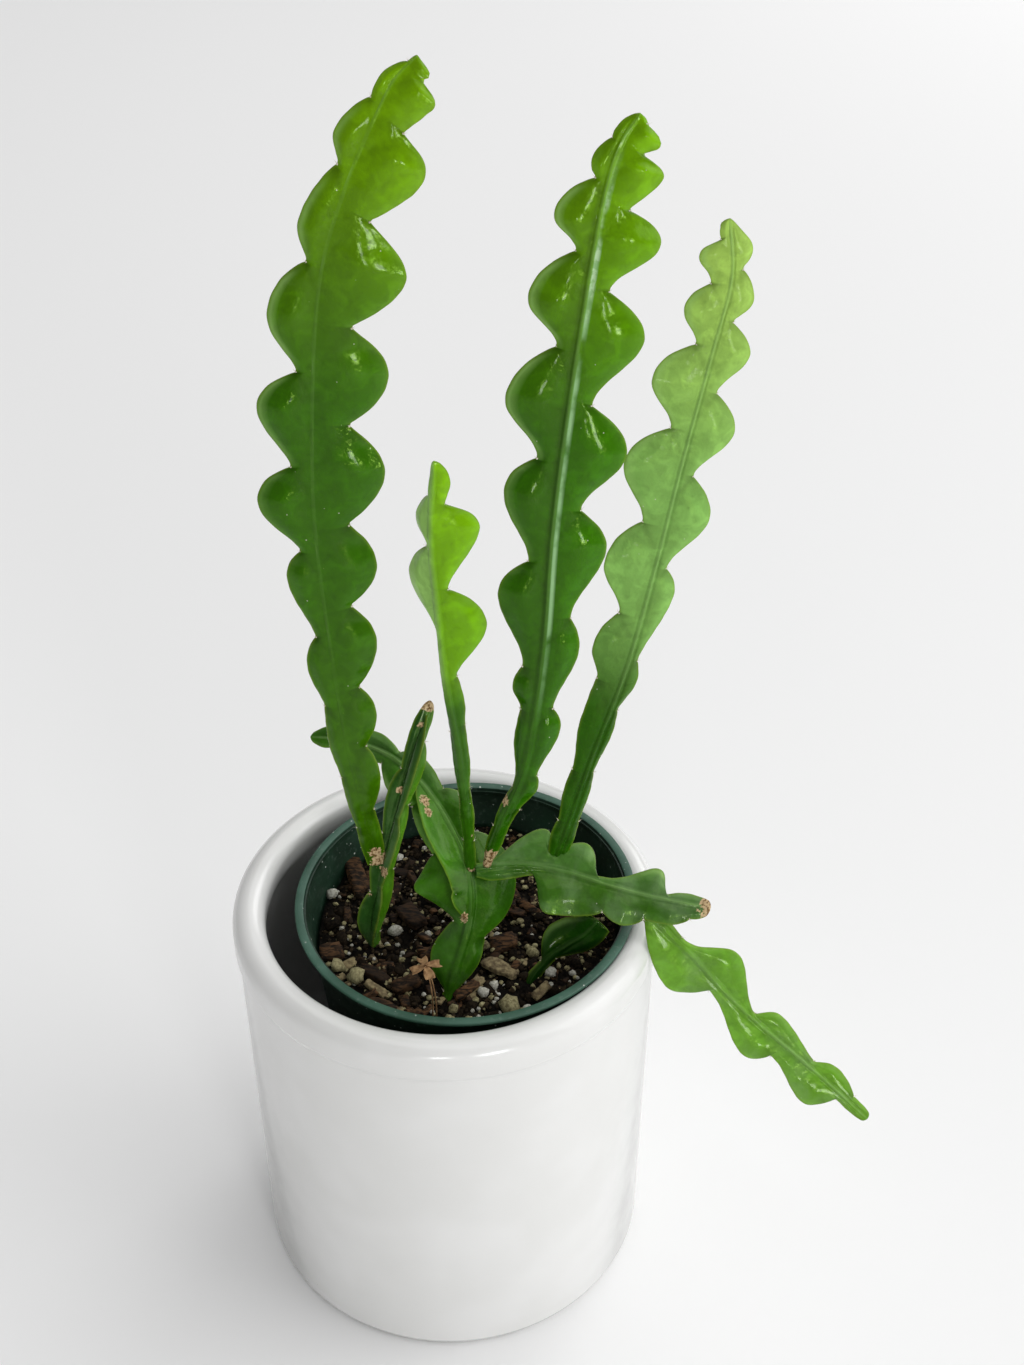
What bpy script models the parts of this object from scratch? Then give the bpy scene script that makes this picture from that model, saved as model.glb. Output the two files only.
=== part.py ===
"""Fishbone cactus in a green grower's pot, which stands in a white glazed cover pot.

Run it with: blender --background --python part.py, or from the text editor.
The origin is the centre of the cover pot's flat base, +Z is up and the plant faces -Y.
Every stem grows from soil or from an older cutting, and is one solid of its own.
"""

import math
import random

import bmesh
import bpy
import numpy as np
from mathutils import Euler, Matrix, Vector

MM = 0.001
GAP = 0.3 * MM
SEAT_GAP = 0.35 * MM

# Cover pot, a straight glazed cylinder with a thick rounded lip
COVER_HEIGHT = 140 * MM
COVER_LIP_OUTER = 66 * MM
COVER_LIP_INNER = 56 * MM
COVER_LIP_RISE = 5 * MM
COVER_LIP_DEPTH = 12 * MM
COVER_BODY_TOP = 65 * MM
COVER_BODY_BASE = 64 * MM
COVER_FOOT = 62.6 * MM
COVER_FOOT_RISE = 1.6 * MM
COVER_INNER = 58.5 * MM
COVER_FLOOR = 7 * MM
POT_SIDES = 56

# Grower's pot of thin green plastic, which leans a little and lies on the lip at its right
GROWER_HEIGHT = 131.7 * MM
GROWER_RIM = 52.6 * MM
GROWER_RIM_THICK = 1.2 * MM
GROWER_NECK = 49.3 * MM
GROWER_BASE = 38 * MM
GROWER_WALL = 0.9 * MM
GROWER_FLOOR = 1.6 * MM
GROWER_LEAN_BACK = math.radians(2.2)
GROWER_LEAN_RIGHT = math.radians(1.5)
GROWER_OFFSET = Vector((9.4 * MM, 3.9 * MM, 9.2 * MM))
DRAIN_RADIUS = 4 * MM
DRAIN_RING = 24 * MM
DRAIN_COUNT = 5

# Soil mix
SOIL_BELOW_RIM = 14 * MM
SOIL_RELIEF = 1.3 * MM
SOIL_RINGS = 11
SOIL_SIDES = 40
HOLE_MARGIN = 1.6 * GAP
CHIP_COUNT = 46
LUMP_COUNT = 42
CHIP_HALVES = ((2.2, 4.6), (1.4, 2.4), (0.8, 1.4))
LUMP_HALF = (1.1, 2.3)
BIT_TILT = 0.4
BIT_LIFT = 0.35
KEEP_CLEAR = 1.3 * MM
STEM_REACH = 7 * MM
HOLE_TOP = 3 * SOIL_RELIEF

# Thickness of a blade, half of it on each face
MIDRIB_HALF = 1.55 * MM
GROOVE_HALF = 0.85 * MM
MARGIN_HALF = 0.42 * MM
GROOVE_OUT = 2.0 * MM
AREOLE_NUB = 0.5 * MM
AREOLE_SPAN = 0.7 * MM
WING_ROOT_HALF = 1.15 * MM
PLAIN_SWELL = (0.9, 0.75)
BIG_LOBE = 3.5
WING_ROOT = 0.8
TIP_SHARE = 0.35
TIP_TAPER = 14
SPINE_STEPS = 240
RIB_SPACING = 6
GROOVE_SHARE = 0.55
SHARPEST_CORNER = 0.45

GREENS = {
    "fresh": (0.09, 0.26, 0.01),
    "pale": (0.18, 0.40, 0.07),
    "old": (0.045, 0.16, 0.02),
}

# The stems: spine points from base to tip, in mm, and on each side the half width at notch,
# lobe, notch, lobe and so on, as (distance along the spine, half width) in mm. The swell of a
# side is how hollow its way out to a lobe is and its way back in: under 1 bulges, over 1 stays
# low for longer. A third value in a key is the swell of the way to that key alone.
TALL_LEFT = {
    "spine": [(-20.2, -5.6, 157), (-26.3, -6.6, 199), (-29.6, -6, 238), (-31.3, -4.5, 277),
              (-29, -3, 316.5), (-25.4, -2.6, 341.6), (-18.8, -2, 361.2), (-14.1, -1.4, 371.5),
              (-8.3, -0.8, 382.9), (-4.5, -0.4, 388.3), (-1, 0, 390.6)],
    "face": [(0.10, -0.90, 0.42), (0.0, -0.90, 0.42)],
    "right_swell": (0.75, 1.0),
    "left_swell": (1.3, 0.75),
    "right": [(0, 2.6), (10, 3.6), (21, 3.4), (35.5, 7.6), (44.5, 5.4), (56, 10), (65, 6.4),
              (80, 12.9), (91.5, 7.4), (103.5, 15.4), (116.5, 9), (132.7, 18.7), (145.8, 9.5),
              (159.5, 18.8), (172.6, 9), (190.2, 20.3), (202, 8), (218.5, 16), (225.1, 7.4),
              (237.5, 10.8), (240.1, 4.2), (240.9, 4.4), (241.4, 1.4)],
    "left": [(0, 3), (8, 3.6), (15.5, 3.2), (24, 3.9), (35, 3.8), (47, 5), (60.5, 4.2),
             (74, 7.2), (83, 3.6), (102.5, 9), (109.5, 4.6), (124, 14.8), (133.5, 5.6),
             (149.2, 14.3), (159.4, 4.3), (173.4, 12.2), (187.4, 4.2), (195, 8.4), (211.6, 3.8),
             (217.4, 7.6), (228.7, 3), (232.4, 3.8), (241.4, 0.9)],
}
TALL_MIDDLE = {
    "spine": [(12.6, -7.5, 158), (17, -7, 174), (24.3, -5.5, 196), (29, -3, 232),
              (31.2, 0, 268.6), (35, 3, 304.7), (40.2, 6, 343.8), (43.1, 7.6, 360),
              (46.2, 8.6, 369.3), (49.6, 9.4, 375.4)],
    "face": [(-0.05, -0.90, 0.42), (0.05, -0.90, 0.42)],
    "right_swell": (1.05, 0.95),
    "left_swell": (1.3, 0.8),
    "right": [(0, 1.4), (10, 2.6), (23.5, 3.6), (32.5, 6), (36, 4.3), (53, 8), (58.5, 4.8),
              (78.5, 9.8), (87.5, 6.6), (109, 14.9), (120, 6.8), (137.5, 16.8), (149.4, 5.8),
              (168.8, 16.4), (179.6, 5.5), (192.9, 16.3), (200.2, 6.8), (212, 12.7), (215.2, 5.8),
              (220.4, 8.9), (222.5, 1.6)],
    "left": [(0, 1.2), (8, 2.2), (15, 1.9), (20, 2.3), (30, 1.4), (48.5, 4.8), (57, 4.4),
             (64, 7.6), (71, 5.4), (94, 13.8), (104, 6), (123.5, 14.2), (133.4, 6.5),
             (148.6, 16.6), (163.9, 5.4), (174.8, 14.4), (188.5, 4.4), (196, 11.3), (206.2, 3.2),
             (208.8, 5.5), (215.7, 2.5), (217.6, 3.3), (222.5, 0.7)],
}
RIGHT_STEM = {
    "spine": [(33.4, -4.5, 157.5), (42.7, -0.5, 190.5), (52.4, 3.6, 221), (59.4, 8, 251.5),
              (65.5, 12, 282.4), (72.3, 17, 313), (76, 20, 331), (74.8, 22, 346)],
    "face": [(0.15, -0.88, 0.45), (0.10, -0.90, 0.42)],
    "right_swell": (1.3, 0.95),
    "left_swell": (1.3, 0.8),
    "right": [(0, 2.8), (8, 3.4), (15, 3), (24, 3.2), (32.5, 2.2), (46.5, 3.2), (54, 2),
              (64.5, 4.4), (70.5, 2.5), (93, 7.4), (99.5, 3.3), (116, 11.6), (127, 4), (141, 12),
              (150.5, 4.2), (162, 10.2), (169.5, 3.3), (175, 7.2), (182.5, 3), (186.5, 6),
              (195.5, 1)],
    "left": [(0, 2.8), (8, 4), (14, 3.4), (24, 4.6), (32, 4.4), (50, 7.4), (62.5, 7.3),
             (71.5, 11.2), (84, 6.6), (98.5, 14.3), (112, 6.6), (127.5, 15.2), (139, 5.4),
             (151, 13.8), (162, 4.7), (170, 10.4), (178.5, 5), (187.5, 9), (190.5, 2.6),
             (192.5, 2.8), (195.5, 1)],
}
YOUNG_STEM = {
    "spine": [(7.8, -6.4, 155.4), (6.7, -8.4, 183), (4.7, -8.5, 205), (1.9, -7.7, 226.6),
              (0.3, -6.8, 248.4), (-0.9, -6, 270.2), (0.4, -5, 292.2)],
    "face": [(0.10, -0.92, 0.38), (0.20, -0.90, 0.38)],
    "left_face": [(-0.30, -0.90, 0.30), (-0.62, -0.76, 0.20)],
    "right_swell": (1.3, 0.75),
    "left_swell": (1.2, 0.75),
    "right": [(0, 1.8), (8, 2), (12, 1.7), (22, 1.9), (33, 1.5), (44, 2.3), (55, 2.2), (62, 2.8),
              (71.5, 2.8), (86.5, 13.2), (99, 3.4), (118, 13.2), (125, 3.4), (131, 4.8),
              (137.5, 0.6)],
    "left": [(0, 1.8), (8, 1.9), (12, 1.5), (22, 1.8), (30, 1.5), (42, 1.8), (53, 1.4),
             (64, 1.5), (87, 0.9), (103, 8.6), (112.5, 1.5), (120, 5.4), (127.5, 1.2),
             (130, 1.5), (137.5, 0.6)],
}
HANGING_STEM = {
    "spine": [(61.4, -19.2, 149), (67.8, -21.8, 142.6), (75.6, -23.8, 134.6), (85.1, -27.4, 124.3),
              (95.6, -31, 114.5), (106.6, -36, 106.6), (117.6, -41, 98.4), (128.4, -46, 89.6)],
    "face": [(-0.25, -0.72, 0.64), (-0.10, -0.80, 0.59)],
    "right": [(0, 3), (22, 12.4), (30.5, 3.4), (53, 10.6, 2.2), (58.4, 5.2), (76, 10, 1.8),
              (82.4, 2.2), (87, 2.4), (94, 0.6)],
    "left": [(0, 2), (5, 2.6), (12, 2), (27.5, 10.8, 3), (46, 1.6, 1.6), (52, 6.4),
             (69.5, 2.2, 1.3), (77, 5.6), (85, 3), (88, 3.2), (94, 0.6)],
}
# Old three-winged cuttings. "wings" are more half blades along the same spine.
LEFT_CUTTING = {
    "spine": [(-23.6, -8.2, 118), (-22.6, -7, 133), (-19.6, -5, 150), (-14.5, -2, 171),
              (-9, 2, 190.5), (-5.3, 5.8, 202), (-3.4, 8, 207.5)],
    "face": [(0.30, -0.88, 0.36), (0.20, -0.90, 0.38)],
    "right": [(0, 2.2), (8, 2.8), (13, 2.6), (29, 4.6), (38, 3.4), (55, 3.8), (62, 2.8),
              (76, 4.4), (84, 2.2), (92, 2.4), (97, 0.6)],
    "left": [(0, 1.6), (5, 2.0), (9, 1.8), (18, 5.2), (29, 2.6), (44, 4.6), (51, 3.0),
             (66, 4.6), (74, 2.6), (86, 3.2), (97, 0.6)],
    "wings": [
        {"span": (3, 90), "face": [(-0.92, -0.30, 0.10), (-0.92, -0.34, 0.16)],
         "right": [(0, 1.4), (4, 1.8), (7, 1.6), (19, 4.6), (28, 2.6), (45, 5.4), (53, 3.0),
                   (69, 4.8), (87, 0.9)]},
    ],
}
MOTHER_CUTTING = {
    "spine": [(-0.8, -35, 117.5), (2.4, -27, 130), (6.4, -18.6, 140), (8.0, -12, 148.4),
              (6.6, -5.5, 155.6), (2.6, 1.2, 162.5), (-2.6, 7, 169.6), (-9.6, 13, 176),
              (-19, 19, 180), (-31, 24.5, 180.6), (-42, 27.5, 179.6)],
    "face": [(0.30, -0.66, 0.68), (0.50, -0.62, 0.60), (0.20, -0.70, 0.68), (0.0, -0.72, 0.69)],
    "left_face": [(0.0, -0.74, 0.67), (-0.24, -0.78, 0.57), (-0.10, -0.74, 0.66), (0.0, -0.72, 0.69)],
    "right": [(0, 1.8), (6, 2.4), (11, 2.2), (24, 7.0), (29, 6.6), (44, 16.6), (58, 6.6),
              (66, 10.0), (73, 4.6), (83, 6.2), (89, 3.0), (98, 5.4), (105, 2.4), (112, 3.8), (118, 0.6)],
    "left": [(0, 1.6), (6, 2.0), (11, 1.8), (20, 8.6), (28, 4.4), (43, 17.6), (54, 7.0),
             (63, 8.2), (72, 4.4), (82, 8.4), (92, 3.2), (101, 6.2), (107, 2.2), (113, 3.2), (118, 0.6)],
    "wings": [
        {"span": (32, 80), "face": [(-0.62, 0.46, -0.64), (-0.56, 0.37, -0.74)],
         "right": [(0, 0.9), (8, 7.6), (12, 7.4), (32, 9.6), (48, 0.9)]},
    ],
}
TRAILING_CUTTING = {
    "spine": [(9.4, -6.6, 155.8), (23, -6.4, 156.8), (35, -8, 156), (47, -11.8, 154.6),
              (58.6, -15.2, 153.2), (70, -18.4, 152.8), (79, -20.4, 152.6)],
    "face": [(0.10, -0.68, 0.73), (0.10, -0.72, 0.69)],
    "left": [(0, 1.6), (20.4, 12.2, 2.6), (21.8, 4.8), (31, 10.4), (36, 1.8), (55.4, 9, 2.6),
             (57.6, 1.6), (64, 3.2), (71.7, 1.6)],
    "right": [(0, 2.8), (5, 4.2), (17.8, 2.6), (22.8, 13.5), (41, 8.4), (46.6, 10.6), (53, 7.2),
              (60, 7.2), (66, 4.4), (68, 4.2), (71.7, 1.4)],
    "wings": [
        {"span": (4, 66), "face": [(0.10, 0.72, -0.69), (0.10, 0.86, -0.50)],
         "right": [(0, 1.0), (7, 3.0), (13, 1.4), (20, 1.6), (32, 1.2), (44, 1.6), (62, 0.9)]},
    ],
}
LOW_BLADE = {
    "spine": [(23.6, -26.5, 116), (25.6, -23.6, 125.5), (30.6, -20, 130.6), (36.5, -17.6, 134.4),
              (42, -17.4, 139), (46, -17.6, 145)],
    "face": [(0.20, -0.70, 0.68), (0.05, -0.78, 0.62)],
    "right": [(0, 2), (5, 2.6), (21, 1.6), (36, 5.4), (40, 4.4)],
    "left": [(0, 1.4), (4, 1.8), (17, 1.3), (25, 8), (40, 3.4)],
}

# Dried seedling in front of the mother cutting
SEEDLING_FOOT = (-3.4, -39.6, 118)
SEEDLING_TOP = (-4.6, -38.4, 147.5)
SEEDLING_STALK = 0.45
SEEDLING_BEND = 1.2
SEEDLING_LEAF = 4.6
SEEDLING_LEAVES = 4
LEAF_HALF = 0.35
LEAF_DROOP = 0.9
LEAF_STEP = 0.13
LEAF_OUTLINE = ((-0.12, -0.08), (0.35, -0.24), (0.85, -0.36), (1.0, 0.0),
                (0.85, 0.36), (0.35, 0.24), (-0.12, 0.08))


def clear_scene():
    """Removes what the startup scene holds."""
    for obj in list(bpy.data.objects):
        bpy.data.objects.remove(obj, do_unlink=True)


def plain_material(name, colour, roughness, metallic=0.0):
    """A Principled material of one colour."""
    material = bpy.data.materials.new(name)
    material.use_nodes = True
    shader = material.node_tree.nodes["Principled BSDF"]
    shader.inputs["Base Color"].default_value = (*colour, 1.0)
    shader.inputs["Roughness"].default_value = roughness
    shader.inputs["Metallic"].default_value = metallic
    return material


def new_object(name, mesh, material):
    """Links a mesh as a named object with its material."""
    obj = bpy.data.objects.new(name, mesh)
    bpy.context.scene.collection.objects.link(obj)
    if material is not None:
        mesh.materials.append(material)
    return obj


def mesh_from(name, points, faces):
    """A mesh from points and faces, with its faces pointing out."""
    mesh = bpy.data.meshes.new(name)
    mesh.from_pydata([tuple(point) for point in points], [], faces)
    shape = bmesh.new()
    shape.from_mesh(mesh)
    bmesh.ops.recalc_face_normals(shape, faces=shape.faces)
    shape.to_mesh(mesh)
    shape.free()
    return mesh


def apply_modifiers(obj):
    """Replaces the object's mesh by what its modifiers make of it."""
    graph = bpy.context.evaluated_depsgraph_get()
    made = bpy.data.meshes.new_from_object(obj.evaluated_get(graph))
    obj.modifiers.clear()
    old = obj.data
    obj.data = made
    bpy.data.meshes.remove(old)


def smooth_round(obj, angle=40):
    """Shades a round piece smooth and keeps its edges sharp."""
    obj.data.shade_smooth()
    obj.data.set_sharp_from_angle(angle=math.radians(angle))


def boolean(obj, other, operation, solver="EXACT"):
    """Applies one Boolean and removes the other object."""
    modifier = obj.modifiers.new(operation.title(), "BOOLEAN")
    modifier.operation = operation
    modifier.solver = solver
    modifier.object = other
    apply_modifiers(obj)
    bpy.data.objects.remove(other, do_unlink=True)


def union_all(obj, others, solver="EXACT"):
    """Joins the others to the object with one Boolean on a collection."""
    group = bpy.data.collections.new("repeats")
    bpy.context.scene.collection.children.link(group)
    for other in others:
        bpy.context.scene.collection.objects.unlink(other)
        group.objects.link(other)
    modifier = obj.modifiers.new("Union", "BOOLEAN")
    modifier.operation = "UNION"
    modifier.solver = solver
    modifier.operand_type = "COLLECTION"
    modifier.collection = group
    apply_modifiers(obj)
    for other in others:
        bpy.data.objects.remove(other, do_unlink=True)
    bpy.data.collections.remove(group)


def ring_points(radius, height, sides):
    """Points round the Z axis."""
    found = []
    for side in range(sides):
        angle = 2 * math.pi * side / sides
        found.append((radius * math.cos(angle), radius * math.sin(angle), height))
    return found


def turned(name, profile, sides, material):
    """A closed body turned round Z from (radius, height) points, which start and end on the axis."""
    points = []
    for radius, height in profile[1:-1]:
        points.extend(ring_points(radius, height, sides))
    low = len(points)
    points.append((0, 0, profile[0][1]))
    points.append((0, 0, profile[-1][1]))
    faces = []
    rows = len(profile) - 2
    for side in range(sides):
        after = (side + 1) % sides
        faces.append((low, after, side))
        for row in range(rows - 1):
            first = row * sides
            second = first + sides
            faces.append((first + side, first + after, second + after, second + side))
        last = (rows - 1) * sides
        faces.append((last + side, last + after, low + 1))
    return new_object(name, mesh_from(name, points, faces), material)


def arc(centre, radius, start, end, steps):
    """Points on an arc in the (radius, height) plane, by angles in degrees."""
    found = []
    for step in range(steps + 1):
        angle = math.radians(start + (end - start) * step / steps)
        found.append((centre[0] + radius[0] * math.cos(angle), centre[1] + radius[1] * math.sin(angle)))
    return found


def make_cover_pot():
    """The white cylinder: flat foot, straight wall, thick rounded lip and a plain floor inside."""
    lip_middle = (COVER_LIP_OUTER + COVER_LIP_INNER) / 2
    lip_half = (COVER_LIP_OUTER - COVER_LIP_INNER) / 2
    crown = arc((lip_middle, COVER_HEIGHT - COVER_LIP_RISE), (lip_half, COVER_LIP_RISE), 0, 180, 8)
    profile = [
        (0, 0),
        (COVER_FOOT, 0),
        (COVER_FOOT, COVER_FOOT_RISE),
        (COVER_BODY_BASE, COVER_FOOT_RISE + 1.2 * MM),
        (COVER_BODY_TOP, COVER_HEIGHT - COVER_LIP_DEPTH - 1.5 * MM),
        (COVER_LIP_OUTER, COVER_HEIGHT - COVER_LIP_DEPTH + 2 * MM),
        *crown,
        (COVER_LIP_INNER, COVER_HEIGHT - COVER_LIP_DEPTH + 3 * MM),
        (COVER_INNER, COVER_HEIGHT - COVER_LIP_DEPTH - 2 * MM),
        (COVER_INNER, COVER_FLOOR + 4 * MM),
        (COVER_INNER - 4 * MM, COVER_FLOOR),
        (0, COVER_FLOOR),
    ]
    glaze = plain_material("glazed_white", (0.82, 0.82, 0.8), 0.18)
    pot = turned("cover_pot", profile, POT_SIDES, glaze)
    smooth_round(pot)
    return pot


def grower_matrix():
    """Where the grower's pot stands: moved to the right and leaning."""
    lean = Euler((GROWER_LEAN_BACK, -GROWER_LEAN_RIGHT, 0)).to_matrix().to_4x4()
    return Matrix.Translation(GROWER_OFFSET) @ lean


def place(obj, matrix):
    """Moves the points of an object, so that its mesh is in world coordinates."""
    obj.data.transform(matrix)


def make_grower_pot():
    """The thin green pot: flat narrow rim, tapering wall and drain holes in its floor."""
    top = GROWER_HEIGHT
    under_rim = top - GROWER_RIM_THICK
    profile = [
        (0, 0),
        (GROWER_BASE - 1.5 * MM, 0),
        (GROWER_BASE, 1.5 * MM),
        (GROWER_NECK, under_rim),
        (GROWER_RIM, under_rim),
        (GROWER_RIM, top - 0.3 * MM),
        (GROWER_RIM - 0.4 * MM, top),
        (GROWER_NECK - GROWER_WALL + 0.2 * MM, top),
        (GROWER_NECK - GROWER_WALL, top - 0.6 * MM),
        (GROWER_BASE - GROWER_WALL, GROWER_FLOOR),
        (0, GROWER_FLOOR),
    ]
    plastic = plain_material("green_plastic", (0.05, 0.16, 0.09), 0.45)
    pot = turned("grower_pot", profile, POT_SIDES, plastic)
    for index in range(DRAIN_COUNT):
        angle = 2 * math.pi * index / DRAIN_COUNT
        mesh = bpy.data.meshes.new("drain")
        shape = bmesh.new()
        bmesh.ops.create_cone(shape, cap_ends=True, segments=10, radius1=DRAIN_RADIUS,
                              radius2=DRAIN_RADIUS, depth=10 * MM)
        shape.to_mesh(mesh)
        shape.free()
        mesh.transform(Matrix.Translation((DRAIN_RING * math.cos(angle), DRAIN_RING * math.sin(angle), 0)))
        boolean(pot, new_object("drain", mesh, None), "DIFFERENCE")
    place(pot, grower_matrix())
    smooth_round(pot)
    return pot


def smooth_path(controls, count):
    """Even points on a smooth curve through the control points, with their distances from its start."""
    controls = np.array(controls, float)
    before = 2 * controls[0] - controls[1]
    after = 2 * controls[-1] - controls[-2]
    padded = np.vstack([before, controls, after])
    fine = []
    for index in range(len(controls) - 1):
        p0, p1, p2, p3 = padded[index:index + 4]
        for t in np.linspace(0, 1, 40, endpoint=False):
            fine.append(0.5 * (2 * p1 + (p2 - p0) * t + (2 * p0 - 5 * p1 + 4 * p2 - p3) * t ** 2
                               + (3 * p1 - p0 - 3 * p2 + p3) * t ** 3))
    fine.append(controls[-1])
    fine = np.array(fine)
    along = np.concatenate([[0], np.cumsum(np.linalg.norm(np.diff(fine, axis=0), axis=1))])
    even = np.linspace(0, along[-1], count)
    return np.column_stack([np.interp(even, along, fine[:, axis]) for axis in range(3)]), even


class Spine:
    """A smooth spine in mm with the side and face directions of the blade on it."""

    def __init__(self, controls, face, span=None):
        self.points, self.along = smooth_path(controls, SPINE_STEPS)
        start, end = span or (0, self.along[-1])
        kept = (self.along >= start) & (self.along <= end)
        self.points = self.points[kept]
        self.along = self.along[kept] - self.along[kept][0]
        self.length = self.along[-1]
        tangent = np.gradient(self.points, axis=0)
        self.tangent = tangent / np.linalg.norm(tangent, axis=1)[:, None]
        stations = np.linspace(0, self.length, len(face))
        face = np.array(face, float)
        facing = np.column_stack([np.interp(self.along, stations, face[:, axis]) for axis in range(3)])
        facing -= (facing * self.tangent).sum(1)[:, None] * self.tangent
        self.normal = facing / np.linalg.norm(facing, axis=1)[:, None]
        self.side = np.cross(self.tangent, self.normal)

    def at(self, distance):
        """Point, side and normal at a distance along the spine."""
        rows = [np.array([np.interp(distance, self.along, values[:, axis]) for axis in range(3)])
                for values in (self.points, self.side, self.normal)]
        return rows[0], rows[1] / np.linalg.norm(rows[1]), rows[2] / np.linalg.norm(rows[2])


class Ridge:
    """The line where the two halves of a folded blade meet, facing between them."""

    def __init__(self, right, left):
        self.halves = (right, left)

    def at(self, distance):
        """Point, side and normal at a distance along the ridge."""
        (centre, side, normal), (_, other_side, other_normal) = [half.at(distance) for half in self.halves]
        normal = normal + other_normal
        side = side + other_side
        return centre, side / np.linalg.norm(side), normal / np.linalg.norm(normal)


def half_width(keys, distance, swell):
    """The half width of a waved edge between its notches and lobes."""
    for index in range(len(keys) - 1):
        start, first = keys[index][:2]
        end, second = keys[index + 1][:2]
        if distance > end and index < len(keys) - 2:
            continue
        share = min(max((distance - start) / (end - start), 0), 1)
        hollow = keys[index + 1][2] if len(keys[index + 1]) > 2 else swell[index % 2]
        if index % 2 == 0:
            return first + (second - first) * math.sin(math.pi / 2 * share) ** hollow
        return second + (first - second) * math.sin(math.pi / 2 * (1 - share)) ** hollow
    return keys[-1][1]


def edge_stations(keys, length):
    """Distances along the spine where the edge gets a point: at its keys and between them."""
    scale = length / keys[-1][0]
    found = []
    for index in range(len(keys) - 1):
        start, first = keys[index][:2]
        end, second = keys[index + 1][:2]
        steps = 3 if abs(second - first) > BIG_LOBE else 2
        for step in range(steps):
            found.append((start + (end - start) * step / steps) * scale)
    found.append(keys[-1][0] * scale)
    return found


def edge_line(spine, keys, swell, hand):
    """The waved edge as (distance, half width) points, with a small nub where each areole sits."""
    scale = spine.length / keys[-1][0]
    line = []
    for distance in edge_stations(keys, spine.length):
        line.append((distance, hand * half_width(keys, distance / scale, swell)))
    for index in range(2, len(keys) - 2, 2):
        nub = AREOLE_NUB / MM
        span = AREOLE_SPAN / MM
        distance, width = keys[index][0] * scale, keys[index][1]
        line = [point for point in line if abs(point[0] - distance) > 1e-6]
        line += [(distance - span, hand * width), (distance, hand * (width + nub)),
                 (distance + span, hand * width)]
    return sorted(line)


def zipper(first, second, first_at, second_at):
    """Triangles between two rows of point numbers, taken in order of their distances."""
    faces = []
    i = 0
    j = 0
    while i < len(first) - 1 or j < len(second) - 1:
        step_first = j == len(second) - 1 or (i < len(first) - 1 and first_at[i + 1] <= second_at[j + 1])
        if step_first:
            faces.append((first[i], first[i + 1], second[j]))
            i += 1
        else:
            faces.append((first[i], second[j + 1], second[j]))
            j += 1
    return faces


def blade(name, design, rib_half=MIDRIB_HALF):
    """One flat stem: a raised midrib, a groove beside it and thin waved margins, alike on both faces."""
    span = design.get("span")
    spine = Spine(design["spine"], design["face"], span)
    left_spine = Spine(design["spine"], design.get("left_face", design["face"]), span)
    count = max(8, int(spine.length / RIB_SPACING))
    stations = list(np.linspace(0, spine.length, count))
    points = []
    faces = []

    def add_row(line, half, half_spine):
        """Adds a row of points on both faces, from (distance, offset) pairs."""
        rows = ([], [])
        for distance, offset in line:
            centre, side, normal = half_spine.at(distance)
            for face_index, sign in enumerate((1, -1)):
                rows[face_index].append(len(points))
                points.append((centre + side * offset + normal * sign * half / MM) * MM)
        return rows

    tapers = [min(1, TIP_SHARE + (spine.length - distance) / TIP_TAPER) for distance in stations]
    middle = ([], [])
    ridge = Ridge(spine, left_spine)
    for distance, taper in zip(stations, tapers):
        front, back = add_row([(distance, 0)], rib_half * taper, ridge)
        middle[0].extend(front)
        middle[1].extend(back)
    sides = []
    for hand, half_spine, name_of_side in ((1, spine, "right"), (-1, left_spine, "left")):
        keys = design[name_of_side]
        swell = design.get(name_of_side + "_swell", PLAIN_SWELL)
        scale = spine.length / keys[-1][0]
        groove_line = []
        for distance in stations:
            width = half_width(keys, distance / scale, swell)
            groove_line.append((distance, hand * min(GROOVE_OUT / MM, GROOVE_SHARE * width)))
        groove = add_row(groove_line, GROOVE_HALF, half_spine)
        line = edge_line(spine, keys, swell, hand)
        edge = add_row(line, MARGIN_HALF, half_spine)
        edge_at = [distance for distance, _ in line]
        for face_index in range(2):
            for index in range(len(stations) - 1):
                quad = (middle[face_index][index], middle[face_index][index + 1],
                        groove[face_index][index + 1], groove[face_index][index])
                faces.append((quad[0], quad[1], quad[2]))
                faces.append((quad[0], quad[2], quad[3]))
            faces += zipper(groove[face_index], edge[face_index], stations, edge_at)
        for index in range(len(line) - 1):
            faces.append((edge[0][index], edge[0][index + 1], edge[1][index + 1]))
            faces.append((edge[0][index], edge[1][index + 1], edge[1][index]))
        sides.append((groove, edge))
    for end in (0, -1):
        (groove_right, edge_right), (groove_left, edge_left) = sides
        faces.append((middle[0][end], groove_right[0][end], edge_right[0][end], edge_right[1][end],
                      groove_right[1][end], middle[1][end]))
        faces.append((middle[0][end], groove_left[0][end], edge_left[0][end], edge_left[1][end],
                      groove_left[1][end], middle[1][end]))
    return mesh_from(name, points, faces)


def stem_object(name, design, material):
    """A stem with its two flat sides, and its further wings fused to it."""
    obj = new_object(name, blade(name, design), material)
    wings = []
    for wing in design.get("wings", ()):
        root = [(key[0], WING_ROOT) for key in wing["right"]]
        made = blade("wing", {"spine": design["spine"], "left": root, **wing}, WING_ROOT_HALF)
        wings.append(new_object("wing", made, None))
    if wings:
        union_all(obj, wings)
    return obj


def swollen_copy(obj, by):
    """A copy whose surface stands out by a small distance, to cut a seat with."""
    mesh = obj.data.copy()
    shape = bmesh.new()
    shape.from_mesh(mesh)
    bmesh.ops.triangulate(shape, faces=shape.faces)
    shape.normal_update()
    moves = []
    for vert in shape.verts:
        normals = [face.normal for face in vert.link_faces]
        direction = vert.normal.copy()
        reach = max(SHARPEST_CORNER, min(direction.dot(normal) for normal in normals))
        moves.append(direction * (by / reach))
    for vert, move in zip(shape.verts, moves):
        vert.co += move
    shape.to_mesh(mesh)
    shape.free()
    return new_object("seat", mesh, None)


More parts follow.
